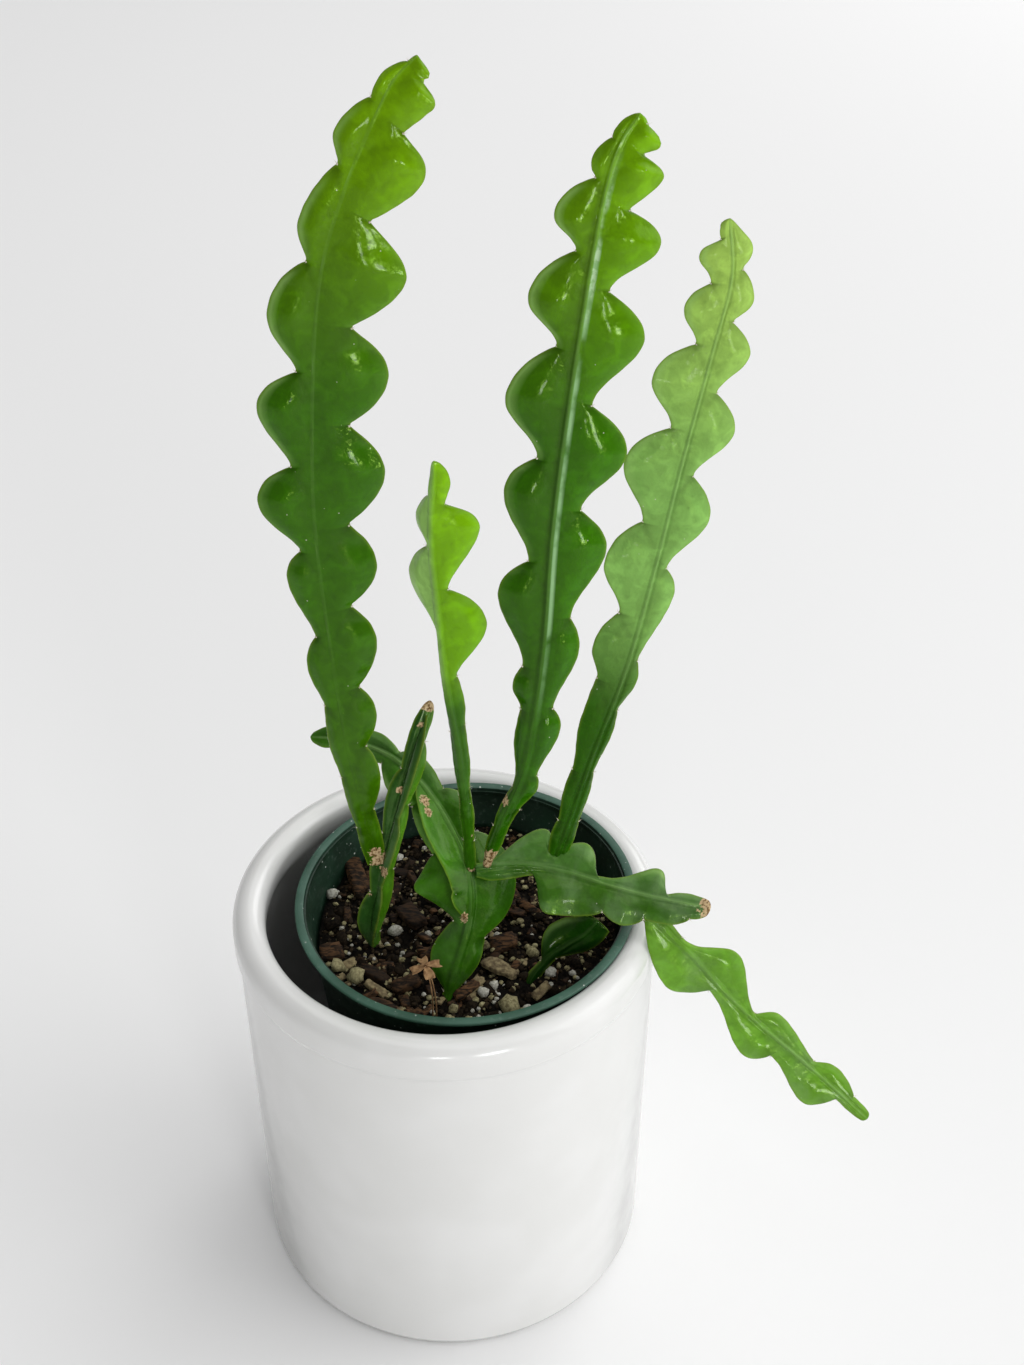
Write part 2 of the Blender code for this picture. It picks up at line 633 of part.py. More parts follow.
def seat_on(obj, parent):
    """Cuts the stem's base where its parent is, so that it sits on it with a hair of space."""
    boolean(obj, swollen_copy(parent, SEAT_GAP), "DIFFERENCE")
    keep_largest(obj)


def keep_largest(obj):
    """Keeps the body's outer surface, without loose scraps and without hollows that fusing has sealed."""
    shape = bmesh.new()
    shape.from_mesh(obj.data)
    left = set(shape.faces)
    islands = []
    while left:
        front = [left.pop()]
        island = []
        while front:
            face = front.pop()
            island.append(face)
            for edge in face.edges:
                for other in edge.link_faces:
                    if other in left:
                        left.discard(other)
                        front.append(other)
        islands.append(island)
    islands.sort(key=len)
    spare = [face for island in islands[:-1] for face in island]
    bmesh.ops.delete(shape, geom=spare, context="FACES")
    shape.to_mesh(obj.data)
    shape.free()


def noise(x, y):
    """A smooth height between -1 and 1, the same in each run."""
    return (math.sin(x * 0.31 + 1.3) * math.cos(y * 0.27 - 0.4) * 0.5
            + math.sin(x * 0.73 - y * 0.52 + 2.1) * 0.3
            + math.cos(x * 0.94 + y * 1.13) * 0.2)


def soil_radius(height):
    """The radius of the soil inside the grower's pot at a height in that pot."""
    share = (height - 1.5 * MM) / (GROWER_HEIGHT - GROWER_RIM_THICK - 1.5 * MM)
    outer = GROWER_BASE + (GROWER_NECK - GROWER_BASE) * share
    return outer - GROWER_WALL - 2 * GAP


def soil_body(level):
    """The soil as one closed body with an uneven top, in the grower's pot's own frame."""
    low = GROWER_FLOOR + GAP
    rings = []
    for ring in range(1, SOIL_RINGS + 1):
        flat = ring_points(soil_radius(level) * ring / SOIL_RINGS, level, SOIL_SIDES)
        rings.append([(x, y, z + SOIL_RELIEF * noise(x / MM, y / MM)) for x, y, z in flat])
    under = ring_points(soil_radius(low), low, SOIL_SIDES)
    points = [(0, 0, level)]
    for ring in rings + [under]:
        points.extend(ring)
    points.append((0, 0, low))
    faces = []
    last = len(points) - 1
    for side in range(SOIL_SIDES):
        after = (side + 1) % SOIL_SIDES
        faces.append((0, 1 + side, 1 + after))
        for ring in range(len(rings)):
            first = 1 + ring * SOIL_SIDES
            second = first + SOIL_SIDES
            faces.append((first + side, second + side, second + after))
            faces.append((first + side, second + after, first + after))
        faces.append((last, last - SOIL_SIDES + after, last - SOIL_SIDES + side))
    return mesh_from("soil_mix", points, faces)


def rough_box(rng, size):
    """A bark chip: a box with its corners moved a little."""
    points = []
    for x in (-1, 1):
        for y in (-1, 1):
            for z in (-1, 1):
                points.append(Vector((x * size[0], y * size[1], z * size[2])) * rng.uniform(0.8, 1.1))
    faces = [(0, 1, 3, 2), (4, 6, 7, 5), (0, 4, 5, 1), (2, 3, 7, 6), (0, 2, 6, 4), (1, 5, 7, 3)]
    return points, faces


def rough_ball(rng, size):
    """A lump of pumice or perlite: an icosahedron with its corners moved a little."""
    golden = (1 + 5 ** 0.5) / 2
    corners = [(-1, golden, 0), (1, golden, 0), (-1, -golden, 0), (1, -golden, 0),
               (0, -1, golden), (0, 1, golden), (0, -1, -golden), (0, 1, -golden),
               (golden, 0, -1), (golden, 0, 1), (-golden, 0, -1), (-golden, 0, 1)]
    faces = [(0, 11, 5), (0, 5, 1), (0, 1, 7), (0, 7, 10), (0, 10, 11), (1, 5, 9), (5, 11, 4),
             (11, 10, 2), (10, 7, 6), (7, 1, 8), (3, 9, 4), (3, 4, 2), (3, 2, 6), (3, 6, 8),
             (3, 8, 9), (4, 9, 5), (2, 4, 11), (6, 2, 10), (8, 6, 7), (9, 8, 1)]
    points = []
    for corner in corners:
        scaled = Vector([corner[axis] * size[axis] for axis in range(3)])
        points.append(scaled.normalized() * scaled.length / 1.9 * rng.uniform(0.85, 1.12))
    return points, faces


def soil_bits(level, near):
    """Bark chips and lumps on the soil, each sunk in it and clear of the stems and the pot."""
    rng = random.Random(7)
    bits = []
    edge = soil_radius(level)
    made = 0
    while made < CHIP_COUNT + LUMP_COUNT:
        chip = made < CHIP_COUNT
        size = ([rng.uniform(*halves) * MM for halves in CHIP_HALVES]
                if chip else [rng.uniform(*LUMP_HALF) * MM] * 3)
        reach = max(size) * 1.2
        radius = (edge - reach - 1.5 * MM) * math.sqrt(rng.random())
        angle = rng.uniform(0, 2 * math.pi)
        spot = Vector((radius * math.cos(angle), radius * math.sin(angle), 0))
        turn = Euler((rng.uniform(-BIT_TILT, BIT_TILT), rng.uniform(-BIT_TILT, BIT_TILT),
                      rng.uniform(0, math.pi)))
        lift = rng.uniform(0.0, BIT_LIFT)
        if any((Vector(point).xy - spot.xy).length < reach + KEEP_CLEAR for point in near):
            continue
        points, faces = rough_box(rng, size) if chip else rough_ball(rng, size)
        spot.z = level + SOIL_RELIEF * noise(spot.x / MM, spot.y / MM) + lift * size[2]
        mesh = mesh_from("bit", points, faces)
        mesh.transform(Matrix.Translation(spot) @ turn.to_matrix().to_4x4())
        bits.append(new_object("bit", mesh, None))
        made += 1
    return bits


def hole_for(stem, to_soil, level):
    """A plain convex hole for the buried foot of a stem, in the soil's frame."""
    points = [to_soil @ vert.co for vert in stem.data.vertices]
    top = level + HOLE_TOP
    buried = [point for point in points if point.z < top]
    for edge in stem.data.edges:
        low, high = sorted((points[index] for index in edge.vertices), key=lambda point: point.z)
        if low.z < top < high.z:
            buried.append(low.lerp(high, (top - low.z) / (high.z - low.z)))
    foot = min(point.z for point in buried) - GAP
    shape = bmesh.new()
    for point in buried:
        for dx in (-HOLE_MARGIN, HOLE_MARGIN):
            for dy in (-HOLE_MARGIN, HOLE_MARGIN):
                for height in (foot, top + GAP):
                    shape.verts.new((point.x + dx, point.y + dy, height))
    hull = bmesh.ops.convex_hull(shape, input=shape.verts)
    spare = [item for item in hull["geom_interior"] + hull["geom_unused"]
             if isinstance(item, bmesh.types.BMVert)]
    bmesh.ops.delete(shape, geom=list(set(spare)), context="VERTS")
    bmesh.ops.dissolve_limit(shape, angle_limit=0.02, verts=shape.verts, edges=shape.edges)
    mesh = bpy.data.meshes.new("hole")
    shape.to_mesh(mesh)
    shape.free()
    return new_object("hole", mesh, None)


def make_soil(planted, around):
    """The soil with holes for the planted stems, and bits kept clear of all that is low."""
    level = GROWER_HEIGHT - SOIL_BELOW_RIM
    to_soil = grower_matrix().inverted()
    near = []
    for stem in around:
        for edge in stem.data.edges:
            ends = [to_soil @ stem.data.vertices[index].co for index in edge.vertices]
            for share in (0, 0.5):
                point = ends[0].lerp(ends[1], share)
                if point.z < level + STEM_REACH:
                    near.append(point)
    material = plain_material("soil", (0.03, 0.02, 0.013), 0.95)
    soil = new_object("soil_mix", soil_body(level), material)
    union_all(soil, soil_bits(level, near), solver="MANIFOLD")
    for stem in planted:
        boolean(soil, hole_for(stem, to_soil, level), "DIFFERENCE")
    keep_largest(soil)
    place(soil, grower_matrix())
    return soil


def make_seedling(material):
    """A small dried seedling: a thin stalk with four leaflets, in one body."""
    foot = Vector(SEEDLING_FOOT) * MM
    top = Vector(SEEDLING_TOP) * MM
    middle = (foot + top) / 2 + Vector((SEEDLING_BEND, 0, 0)) * MM
    radius = SEEDLING_STALK * MM
    points = []
    faces = []
    rows = (foot, middle, top)
    for centre in rows:
        for corner in range(4):
            angle = math.pi * corner / 2
            points.append(centre + Vector((radius * math.cos(angle), radius * math.sin(angle), 0)))
    for row in range(len(rows) - 1):
        for corner in range(4):
            after = (corner + 1) % 4
            faces.append((row * 4 + corner, row * 4 + after, row * 4 + 4 + after, row * 4 + 4 + corner))
    faces += [(3, 2, 1, 0), (8, 9, 10, 11)]
    stalk = new_object("dry_seedling", mesh_from("dry_seedling", points, faces), material)
    leaves = []
    for index in range(SEEDLING_LEAVES):
        angle = 2 * math.pi * index / SEEDLING_LEAVES + 0.35
        leaf = []
        for height in (-LEAF_HALF, LEAF_HALF):
            for x, y in LEAF_OUTLINE:
                leaf.append(Vector((x * SEEDLING_LEAF, y * SEEDLING_LEAF, height - LEAF_DROOP * x)) * MM)
        count = len(LEAF_OUTLINE)
        sheets = [tuple(reversed(range(count))), tuple(range(count, 2 * count))]
        walls = [(corner, (corner + 1) % count, count + (corner + 1) % count, count + corner)
                 for corner in range(count)]
        mesh = mesh_from("leaf", leaf, sheets + walls)
        sink = Vector((0, 0, LEAF_HALF + LEAF_STEP * (index + 1))) * MM
        mesh.transform(Matrix.Translation(top - sink) @ Matrix.Rotation(angle, 4, "Z"))
        leaves.append(new_object("leaf", mesh, None))
    union_all(stalk, leaves)
    return stalk


def main():
    """Builds the whole part."""
    clear_scene()
    make_cover_pot()
    make_grower_pot()
    fresh = plain_material("stem_green", GREENS["fresh"], 0.35)
    pale = plain_material("stem_pale", GREENS["pale"], 0.35)
    old = plain_material("stem_old", GREENS["old"], 0.4)
    left_cutting = stem_object("left_cutting", LEFT_CUTTING, old)
    mother = stem_object("mother_cutting", MOTHER_CUTTING, old)
    trailing = stem_object("trailing_cutting", TRAILING_CUTTING, old)
    seat_on(trailing, mother)
    low = stem_object("low_blade", LOW_BLADE, old)
    seat_on(low, trailing)
    tall_left = stem_object("tall_left_stem", TALL_LEFT, fresh)
    seat_on(tall_left, left_cutting)
    young = stem_object("young_stem", YOUNG_STEM, fresh)
    seat_on(young, mother)
    seat_on(young, trailing)
    middle = stem_object("tall_middle_stem", TALL_MIDDLE, fresh)
    seat_on(middle, mother)
    seat_on(middle, trailing)
    right = stem_object("right_stem", RIGHT_STEM, pale)
    seat_on(right, trailing)
    hanging = stem_object("hanging_stem", HANGING_STEM, fresh)
    seat_on(hanging, trailing)
    seedling = make_seedling(plain_material("dry_brown", (0.30, 0.17, 0.08), 0.8))
    planted = [left_cutting, mother, low, seedling]
    make_soil(planted, planted + [trailing, tall_left])


main()
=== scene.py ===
"""Looks of the potted fishbone cactus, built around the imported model.

Stem designs are in mm. They repeat the solid model's values, apart from small differences at
tips and lobes and at the edges of the young stem and the mother cutting. Values in mm become
metres through MM. The plant faces -Y, and the camera looks along +Y from above.
"""

import math
import random

import bmesh
import bpy
import numpy as np
from mathutils import Euler, Matrix, Vector, noise

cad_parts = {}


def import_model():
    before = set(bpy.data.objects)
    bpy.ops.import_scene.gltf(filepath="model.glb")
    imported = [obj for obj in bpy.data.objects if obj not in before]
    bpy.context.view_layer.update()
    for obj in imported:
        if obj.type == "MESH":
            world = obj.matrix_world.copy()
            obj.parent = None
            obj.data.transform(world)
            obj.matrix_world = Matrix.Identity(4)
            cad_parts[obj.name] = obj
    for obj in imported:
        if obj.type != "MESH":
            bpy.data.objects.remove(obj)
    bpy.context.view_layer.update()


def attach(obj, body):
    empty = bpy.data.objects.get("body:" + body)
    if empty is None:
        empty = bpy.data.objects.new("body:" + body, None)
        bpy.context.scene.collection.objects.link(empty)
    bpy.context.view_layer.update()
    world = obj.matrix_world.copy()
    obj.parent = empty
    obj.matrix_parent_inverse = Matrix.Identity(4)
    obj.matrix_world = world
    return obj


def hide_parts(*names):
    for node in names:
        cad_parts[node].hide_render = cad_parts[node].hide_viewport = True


MM = 0.001

# Camera
CAMERA_PLACE = (0.0203, -0.3927, 0.4955)
CAMERA_DOWN = math.radians(35.1)
CAMERA_LENS = 44.83

# Strengths of the lights
WORLD_LIGHT = 0.25
SKY_LIGHT = 1.65
SKY_SPREAD = math.radians(85)
SKY_TURN = (math.radians(-12), math.radians(20), 0)

# Square lights: the place of each and the point that it faces, then its width in m and its power
AREA_LIGHTS = {
    "side": ((1.5, -0.25, 0.85), (0, 0, 0.15), 1.4, 9.5),
    "back": ((1.3, 2.0, 1.3), (0.6, 1.4, 0), 1.2, 11),
    "pane_right": ((0.52, -1.30, 0.40), (0, 0, 0.3), 0.24, 4.4),
    "pane_left": ((-0.05, -1.35, 0.38), (0, 0, 0.3), 0.15, 1.6),
}
FLOOR_WIDTH = 12
FLOOR_WHITE = (0.86, 0.86, 0.86)

# Colours that the stems share. The greens of the rib line, the margin, the strip and the gleam are painted
# highlights and sheen, and the grey is waxy bloom with painted sheen.
CREST_HIGHLIGHT_GREEN = (0.24, 0.42, 0.13)
EDGE_YELLOW = (0.17, 0.27, 0.02)
MARGIN_SHEEN_GREEN = (0.27, 0.46, 0.13)
HIGHLIGHT_STRIP_GREEN = (0.33, 0.56, 0.28)
GLEAM_GREEN = (0.50, 0.68, 0.42)
BLOOM_AND_SHEEN_GREY = (0.20, 0.31, 0.15)
SPECK_GREY = (0.50, 0.52, 0.40)
CORK_DARK = (0.13, 0.06, 0.022)
CORK_LIGHT = (0.55, 0.40, 0.23)
GLOSS_TINT = (0.60, 1.0, 0.15)

# Where the painted highlight strip beside a stem's rib grows and fades, as shares of the stem's height
STRIP_STARTS = (0.22, 0.44)
STRIP_ENDS = (0.97, 0.84)

# Cover pot
COVER_HEIGHT = 140
COVER_LIP_OUTER = 66
COVER_LIP_INNER = 56
COVER_LIP_RISE = 5
COVER_LIP_DEPTH = 12
COVER_BODY_TOP = 65
COVER_BODY_BASE = 64
COVER_FOOT = 62.6
COVER_INNER = 58.5
COVER_FLOOR = 7
POT_SIDES = 192

# Grower's pot
GROWER_HEIGHT = 131.7
GROWER_RIM = 52.6
GROWER_RIM_THICK = 1.2
GROWER_RIM_INNER = 49.9
GROWER_NECK = 49.3
GROWER_BASE = 38
GROWER_WALL = 0.9
GROWER_FLOOR = 1.6
GROWER_WALL_START = 1.5
GROWER_LEAN_BACK = math.radians(2.2)
GROWER_LEAN_RIGHT = math.radians(1.5)
GROWER_OFFSET = (9.4, 3.9, 9.2)
GROWER_RIM_ROWS = (5, 11)

# Soil
SOIL_BELOW_RIM = 14
SOIL_LEVEL = GROWER_HEIGHT - SOIL_BELOW_RIM
SOIL_CLEAR = 0.6
SOIL_RELIEF = 1.3
SOIL_RINGS = 110
SOIL_SIDES = 260

# Fine shape of a stem, in mm and in shares. The rows of points run across the stem. Their columns
# lie at set distances from the midrib, then evenly, then at set distances inside the edge, and
# all of them crowd together on rows that are narrower than NARROW.
PATH_STEPS = 40
SPINE_POINTS = 240
ROW_STEP = 0.5
FINE_STEP = 0.1
BLADE_HALF = 0.9
MARGIN_HALF = 0.45
MARGIN_SOFT = 5.0
EDGE_ROUND = 1.3
TIP_SHARE = 0.35
TIP_TAPER = 14
TIP_LEAST = 0.6
TIP_ROUND = 1.2
TIP_ROWS = (0.26, 0.13, 0.05, 0.015, 0)
LOBE_ROUND = 2.6
RIB_SLIMMING = 0.5
NOTCH_STEP = 1.0
NOTCH_STEP_SHARE = 0.15
NEAR_COLUMNS = (0.3, 0.6, 0.9, 1.2, 1.55, 1.9, 2.4, 3.0)
FAR_COLUMNS = 6
EDGE_COLUMNS = (1.5, 0.95, 0.55, 0.25, 0.06)
NARROW = 6.5
PLAIN_SWELL = (0.9, 0.75)
WING_ROOT = 0.8
WOBBLE = 0.07
VEIN_HALF = 0.8
VEIN_DEPTH = 0.10
BEND_WIDTH = 12
BEND_REACH = 14

# Low bumps of the skin: the height and the size of each kind
LOW_BUMPS = ((0.26, 6.5), (0.055, 2.2))

# Woolly points and bristles in the notches, in mm
TUFT_RADIUS = 0.34
BRISTLE_RADIUS = 0.055
BRISTLE_LENGTH = (0.8, 1.7)

# Dry seedling, in mm
SEEDLING_TOP = (-4.6, -38.4, 147.5)
SEEDLING_FEET = ((-3.4, -39.6, 122), (-2.2, -39.0, 122))
SECOND_STALK_SHIFT = (0.5, 0.2, -1.0)
STALK_RADIUS = 0.28
STALK_BEND = 1.0
LEAFLETS = 4
LEAFLET_LENGTH = 4.6

# Stems: the points of the spine, the directions that the blade faces along it, and its edges as
# (distance, half width) keys, which are notches and lobes in turn. The flank that ends at a key is
# the rounder the smaller the key's third value is, or else the swell of rising or falling flanks.
TALL_LEFT = {
    "spine": [(-20.2, -5.6, 157), (-26.3, -6.6, 199), (-29.6, -6, 238), (-31.3, -4.5, 277),
              (-29, -3, 316.5), (-25.4, -2.6, 341.6), (-18.8, -2, 361.2), (-14.1, -1.4, 371.5),
              (-8.3, -0.8, 382.9), (-4.9, -0.4, 387.7), (-0.9, -0.1, 391.5)],
    "face": [(0.10, -0.90, 0.42), (0.0, -0.90, 0.42)],
    "right_swell": (0.75, 1.0),
    "left_swell": (1.3, 0.75),
    "right": [(0, 2.6), (10, 3.6), (21, 3.4), (35.5, 7.6), (44.5, 5.4), (56, 10), (65, 6.4),
              (80, 12.9), (91.5, 7.4), (103.5, 15.4), (116.5, 9), (132.7, 18.7), (145.8, 9.5),
              (159.5, 18.8), (172.6, 9), (190.2, 20.3), (202, 8), (218.5, 16), (225.1, 7.4),
              (237.8, 10.9), (239.3, 4, 0.35), (241.6, 5.9), (242.3, 5.7)],
    "left": [(0, 3), (8, 3.6), (15.5, 3.2), (24, 3.9), (35, 3.8), (47, 5), (60.5, 4.2),
             (74, 7.2), (83, 3.6), (102.5, 9), (109.5, 4.6), (124, 14.8), (133.5, 5.6),
             (149.2, 14.3), (159.4, 4.3), (173.4, 12.2), (187.4, 4.2), (195, 8.4), (211.6, 3.8),
             (217.4, 7.6), (228.7, 3), (232.4, 3.5), (239.7, 0.5),
             (240.7, 0.6), (242.3, 0.3)],
}
TALL_MIDDLE = {
    "spine": [(12.6, -7.5, 158), (17, -7, 174), (24.3, -5.5, 196), (29, -3, 232),
              (31.2, 0, 268.6), (35, 3, 304.7), (40.2, 6, 343.8), (43.1, 7.6, 360),
              (46.2, 8.6, 369.3), (50.4, 9.5, 375.8)],
    "face": [(-0.05, -0.90, 0.42), (0.05, -0.90, 0.42)],
    "right_swell": (1.7, 0.9),
    "left_swell": (1.7, 0.75),
    "right": [(0, 1.4), (10, 2.6), (23.5, 3.6), (32.5, 6), (36, 4.3), (53, 8), (58.5, 4.8),
              (78.5, 9.8), (87.5, 6.6), (109, 14.9), (120, 6.8), (137.5, 16.8), (149.4, 5.8),
              (168.8, 16.4), (179.6, 5.5), (192.9, 16.3), (200.2, 6.8, 0.7), (211.6, 12.9, 0.95),
              (215.1, 5.8, 0.5), (220.9, 8.9, 1), (222.4, 2.8, 0.5), (222.9, 3.2), (223.6, 2)],
    "left": [(0, 1.2), (8, 2.2), (15, 1.9), (20, 2.3), (30, 1.4), (48.5, 4.8), (57, 4.4),
             (64, 7.6), (71, 5.4), (94, 13.8), (104, 6), (123.5, 14.2), (133.4, 6.5),
             (148.6, 16.6), (163.9, 5.4), (174.8, 14.4), (188.5, 4.4), (196, 11.3), (206.2, 3.2),
             (208.8, 5.5), (215.7, 2.5), (217.6, 3), (223.6, 0.3)],
}
RIGHT_STEM = {
    "spine": [(33.4, -4.5, 157.5), (42.7, -0.5, 190.5), (52.4, 3.6, 221), (59.4, 8, 251.5),
              (65.5, 12, 282.4), (72.3, 17, 313), (76, 20, 331), (74.8, 22, 346)],
    "face": [(0.15, -0.88, 0.45), (0.10, -0.90, 0.42)],
    "right_swell": (1.6, 0.85),
    "left_swell": (1.6, 0.75),
    "right": [(0, 2.8), (8, 3.4), (15, 3), (24, 3.2), (32.5, 2.2), (46.5, 3.2), (54, 2),
              (64.5, 4.4), (70.5, 2.5), (93, 7.4), (99.5, 3.3), (116, 11.6), (127, 4), (141, 12),
              (150.5, 4.2), (162, 10.2), (169.5, 3.3), (175, 7.2), (182.5, 3), (186.5, 6),
              (195.5, 0.8, 1.5)],
    "left": [(0, 2.8), (8, 4), (14, 3.4), (24, 4.6), (32, 4.4), (50, 7.4), (62.5, 7.3),
             (71.5, 11.2), (84, 6.6), (98.5, 14.3), (112, 6.6), (127.5, 15.2), (139, 5.4),
             (151, 13.8), (162, 4.7), (170, 10.4), (178.5, 5), (187.5, 9), (190.5, 2.6),
             (193.2, 2.9), (195.5, 1.2)],
}
YOUNG_STEM = {
    "spine": [(7.8, -6.4, 155.4), (6.7, -8.4, 183), (4.7, -8.5, 205), (1.9, -7.7, 226.6),
              (0.3, -6.8, 248.4), (-0.9, -6, 270.2), (0.4, -5, 292.2)],
    "face": [(0.10, -0.92, 0.38), (0.20, -0.90, 0.38)],
    "left_face": [(-0.30, -0.90, 0.30), (-0.62, -0.76, 0.20)],
    "right_swell": (1.3, 0.75),
    "left_swell": (1.2, 0.75),
    "right": [(0, 1.8), (8, 2), (12, 1.8), (22, 2.2), (33, 1.9), (44, 3), (55, 3.2), (62, 4.3),
              (71.5, 3.3), (86.5, 13.2), (99, 3.4), (118, 13.2), (125, 3.4), (131, 4.8),
              (137.5, 0.6)],
    "left": [(0, 1.8), (8, 1.9), (12, 1.7), (22, 2.2), (30, 1.9), (42, 2.2), (53, 1.6),
             (64, 1.5), (87, 0.9), (103, 8.6), (112.5, 1.5), (120, 5.4), (127.5, 1.2),
             (130, 1.5), (137.5, 0.6)],
}
HANGING_STEM = {
    "spine": [(61.4, -19.2, 149), (67.8, -21.8, 142.6), (75.6, -23.8, 134.6), (85.1, -27.4, 124.3),
              (95.6, -31, 114.5), (106.6, -36, 106.6), (117.6, -41, 98.4), (128.4, -46, 89.6)],
    "face": [(-0.25, -0.72, 0.64), (-0.10, -0.80, 0.59)],
    "right": [(0, 3), (22, 12.4), (30.5, 3.4), (53, 10.6, 2.2), (58.4, 5.2), (76, 10, 1.8),
              (82.4, 2.2), (87, 2.3), (94, 1.4)],
    "left": [(0, 2), (5, 2.6), (12, 2), (27.5, 10.8, 3), (46, 1.6, 1.6), (52, 6.4),
             (69.5, 2.2, 1.3), (76, 5.4), (86, 2.2), (90, 2.2), (94, 1.4)],
}
LEFT_CUTTING = {
    "spine": [(-23.6, -8.2, 118), (-22.6, -7, 133), (-19.6, -5, 150), (-14.5, -2, 171),
              (-9, 2, 190.5), (-5.3, 5.8, 202), (-3.4, 8, 207.5)],
    "face": [(0.30, -0.88, 0.36), (0.20, -0.90, 0.38)],
    "right": [(0, 2.2), (8, 2.8), (13, 2.6), (29, 4.6), (38, 3.4), (55, 3.8), (62, 2.8),
              (76, 4.4), (84, 2.2), (92, 2.4), (97, 0.6)],
    "left": [(0, 1.6), (5, 2.0), (9, 1.8), (18, 5.2), (29, 2.6), (44, 4.6), (51, 3.0),
             (66, 4.6), (74, 2.6), (86, 3.2), (97, 0.6)],
    "wings": [
        {"span": (3, 90), "face": [(-0.92, -0.30, 0.10), (-0.92, -0.34, 0.16)],
         "right": [(0, 1.4), (4, 1.8), (7, 1.6), (19, 4.6), (28, 2.6), (45, 5.4), (53, 3.0),
                   (69, 4.8), (87, 0.9)]},
    ],
}
MOTHER_CUTTING = {
    "spine": [(-0.8, -35, 117.5), (2.4, -27, 130), (6.4, -18.6, 140), (8.0, -12, 148.4),
              (6.6, -5.5, 155.6), (2.6, 1.2, 162.5), (-2.6, 7, 169.6), (-9.6, 13, 176),
              (-19, 19, 180), (-31, 24.5, 180.6), (-42, 27.5, 179.6)],
    "face": [(0.30, -0.66, 0.68), (0.50, -0.62, 0.60), (0.20, -0.70, 0.68), (0.0, -0.72, 0.69)],
    "left_face": [(0.0, -0.74, 0.67), (-0.24, -0.78, 0.57), (-0.10, -0.74, 0.66),
                  (0.0, -0.72, 0.69)],
    "right": [(0, 1.8), (6, 2.4), (11, 2.2), (24, 7.0), (29, 6.6), (44, 16.6), (58, 6.6),
              (66, 10.0), (73, 4.6), (83, 6.2), (89, 3.0), (98, 5.4), (105, 2.4), (112, 3.8),
              (118, 0.6)],
    "left": [(0, 1.6), (6, 2.0), (11, 1.8), (21, 8.8), (32, 4.8), (46, 17.6), (57, 8.6),
             (65, 9.4), (74, 6.6), (83, 9.0), (92, 3.2), (101, 6.2), (107, 2.2), (113, 3.2),
             (118, 0.6)],
    "wings": [
        {"span": (32, 80), "face": [(-0.62, 0.46, -0.64), (-0.56, 0.37, -0.74)],
         "right": [(0, 0.9), (8, 7.6), (12, 7.4), (32, 9.6), (48, 0.9)]},
    ],
}
TRAILING_CUTTING = {
    "spine": [(9.4, -6.6, 155.8), (23, -6.4, 156.8), (35, -8, 156), (47, -11.8, 154.6),
              (58.6, -15.2, 153.2), (70, -18.4, 152.8), (79, -20.4, 152.6)],
    "face": [(0.10, -0.68, 0.73), (0.10, -0.72, 0.69)],
    "left": [(0, 1.6), (20.4, 12.2, 2.6), (21.8, 4.8), (31, 10.4), (36, 1.8), (55.4, 9, 2.6),
             (57.6, 1.6), (64, 3.2), (71.7, 1.6)],
    "right": [(0, 2.8), (5, 4.2), (17.8, 2.6), (22.8, 13.5), (41, 8.4), (46.6, 10.6), (53, 7.2),
              (60, 7.2), (66, 4.4), (68, 4.2), (71.7, 1.4)],
    "wings": [
        {"span": (4, 66), "face": [(0.10, 0.72, -0.69), (0.10, 0.86, -0.50)],
         "right": [(0, 1.0), (7, 3.0), (13, 1.4), (20, 1.6), (32, 1.2), (44, 1.6), (62, 0.9)]},
    ],
}
LOW_BLADE = {
    "spine": [(23.6, -26.5, 116), (25.6, -23.6, 125.5), (30.6, -20, 130.6), (36.5, -17.6, 134.4),
              (42, -17.4, 139), (46, -17.6, 145)],
    "face": [(0.20, -0.70, 0.68), (0.05, -0.78, 0.62)],
    "right": [(0, 2), (5, 2.6), (21, 1.6), (36, 5.4), (40, 4.4)],
    "left": [(0, 1.4), (4, 1.8), (17, 1.3), (25, 8), (40, 3.4)],
}

# Shapes of the skin: the rib's cord is its rise, the half widths of its crest and foot, and the
# depth and place of the groove beside it. All in mm.
LOOKS = {
    "tall": {"ridge": (0.14, 0.05, 0.5, 0.0, 1.1), "puff": 1.4, "roll": 0.9, "wave": 0.5, "curl": 0.8,
             "rib_width": 0.20, "seed": 1.0},
    "broad": {"ridge": (0.55, 0.35, 1.5, 0.14, 1.7), "puff": 1.6, "roll": 0.8, "wave": 0.5, "curl": 0.4,
              "rib_width": 0.30, "seed": 2.0},
    "grooved": {"ridge": (0.30, 0.15, 0.60, 0.32, 1.0), "puff": 0.5, "roll": 1.0, "wave": 0.4,
                "curl": 0.3, "rib_width": 0.35, "seed": 3.0},
    "folded": {"ridge": (0.55, 0.2, 1.1, 0.10, 1.4), "puff": 0.6, "roll": 0.9, "wave": 0.3, "curl": 0.2,
               "rib_width": 0.30, "seed": 5.0},
    "old": {"ridge": (0.75, 0.2, 1.5, 0.10, 1.8), "puff": 1.0, "roll": 1.1, "wave": 0.8, "curl": 0.3,
            "rib_width": 0.30, "seed": 4.0},
}

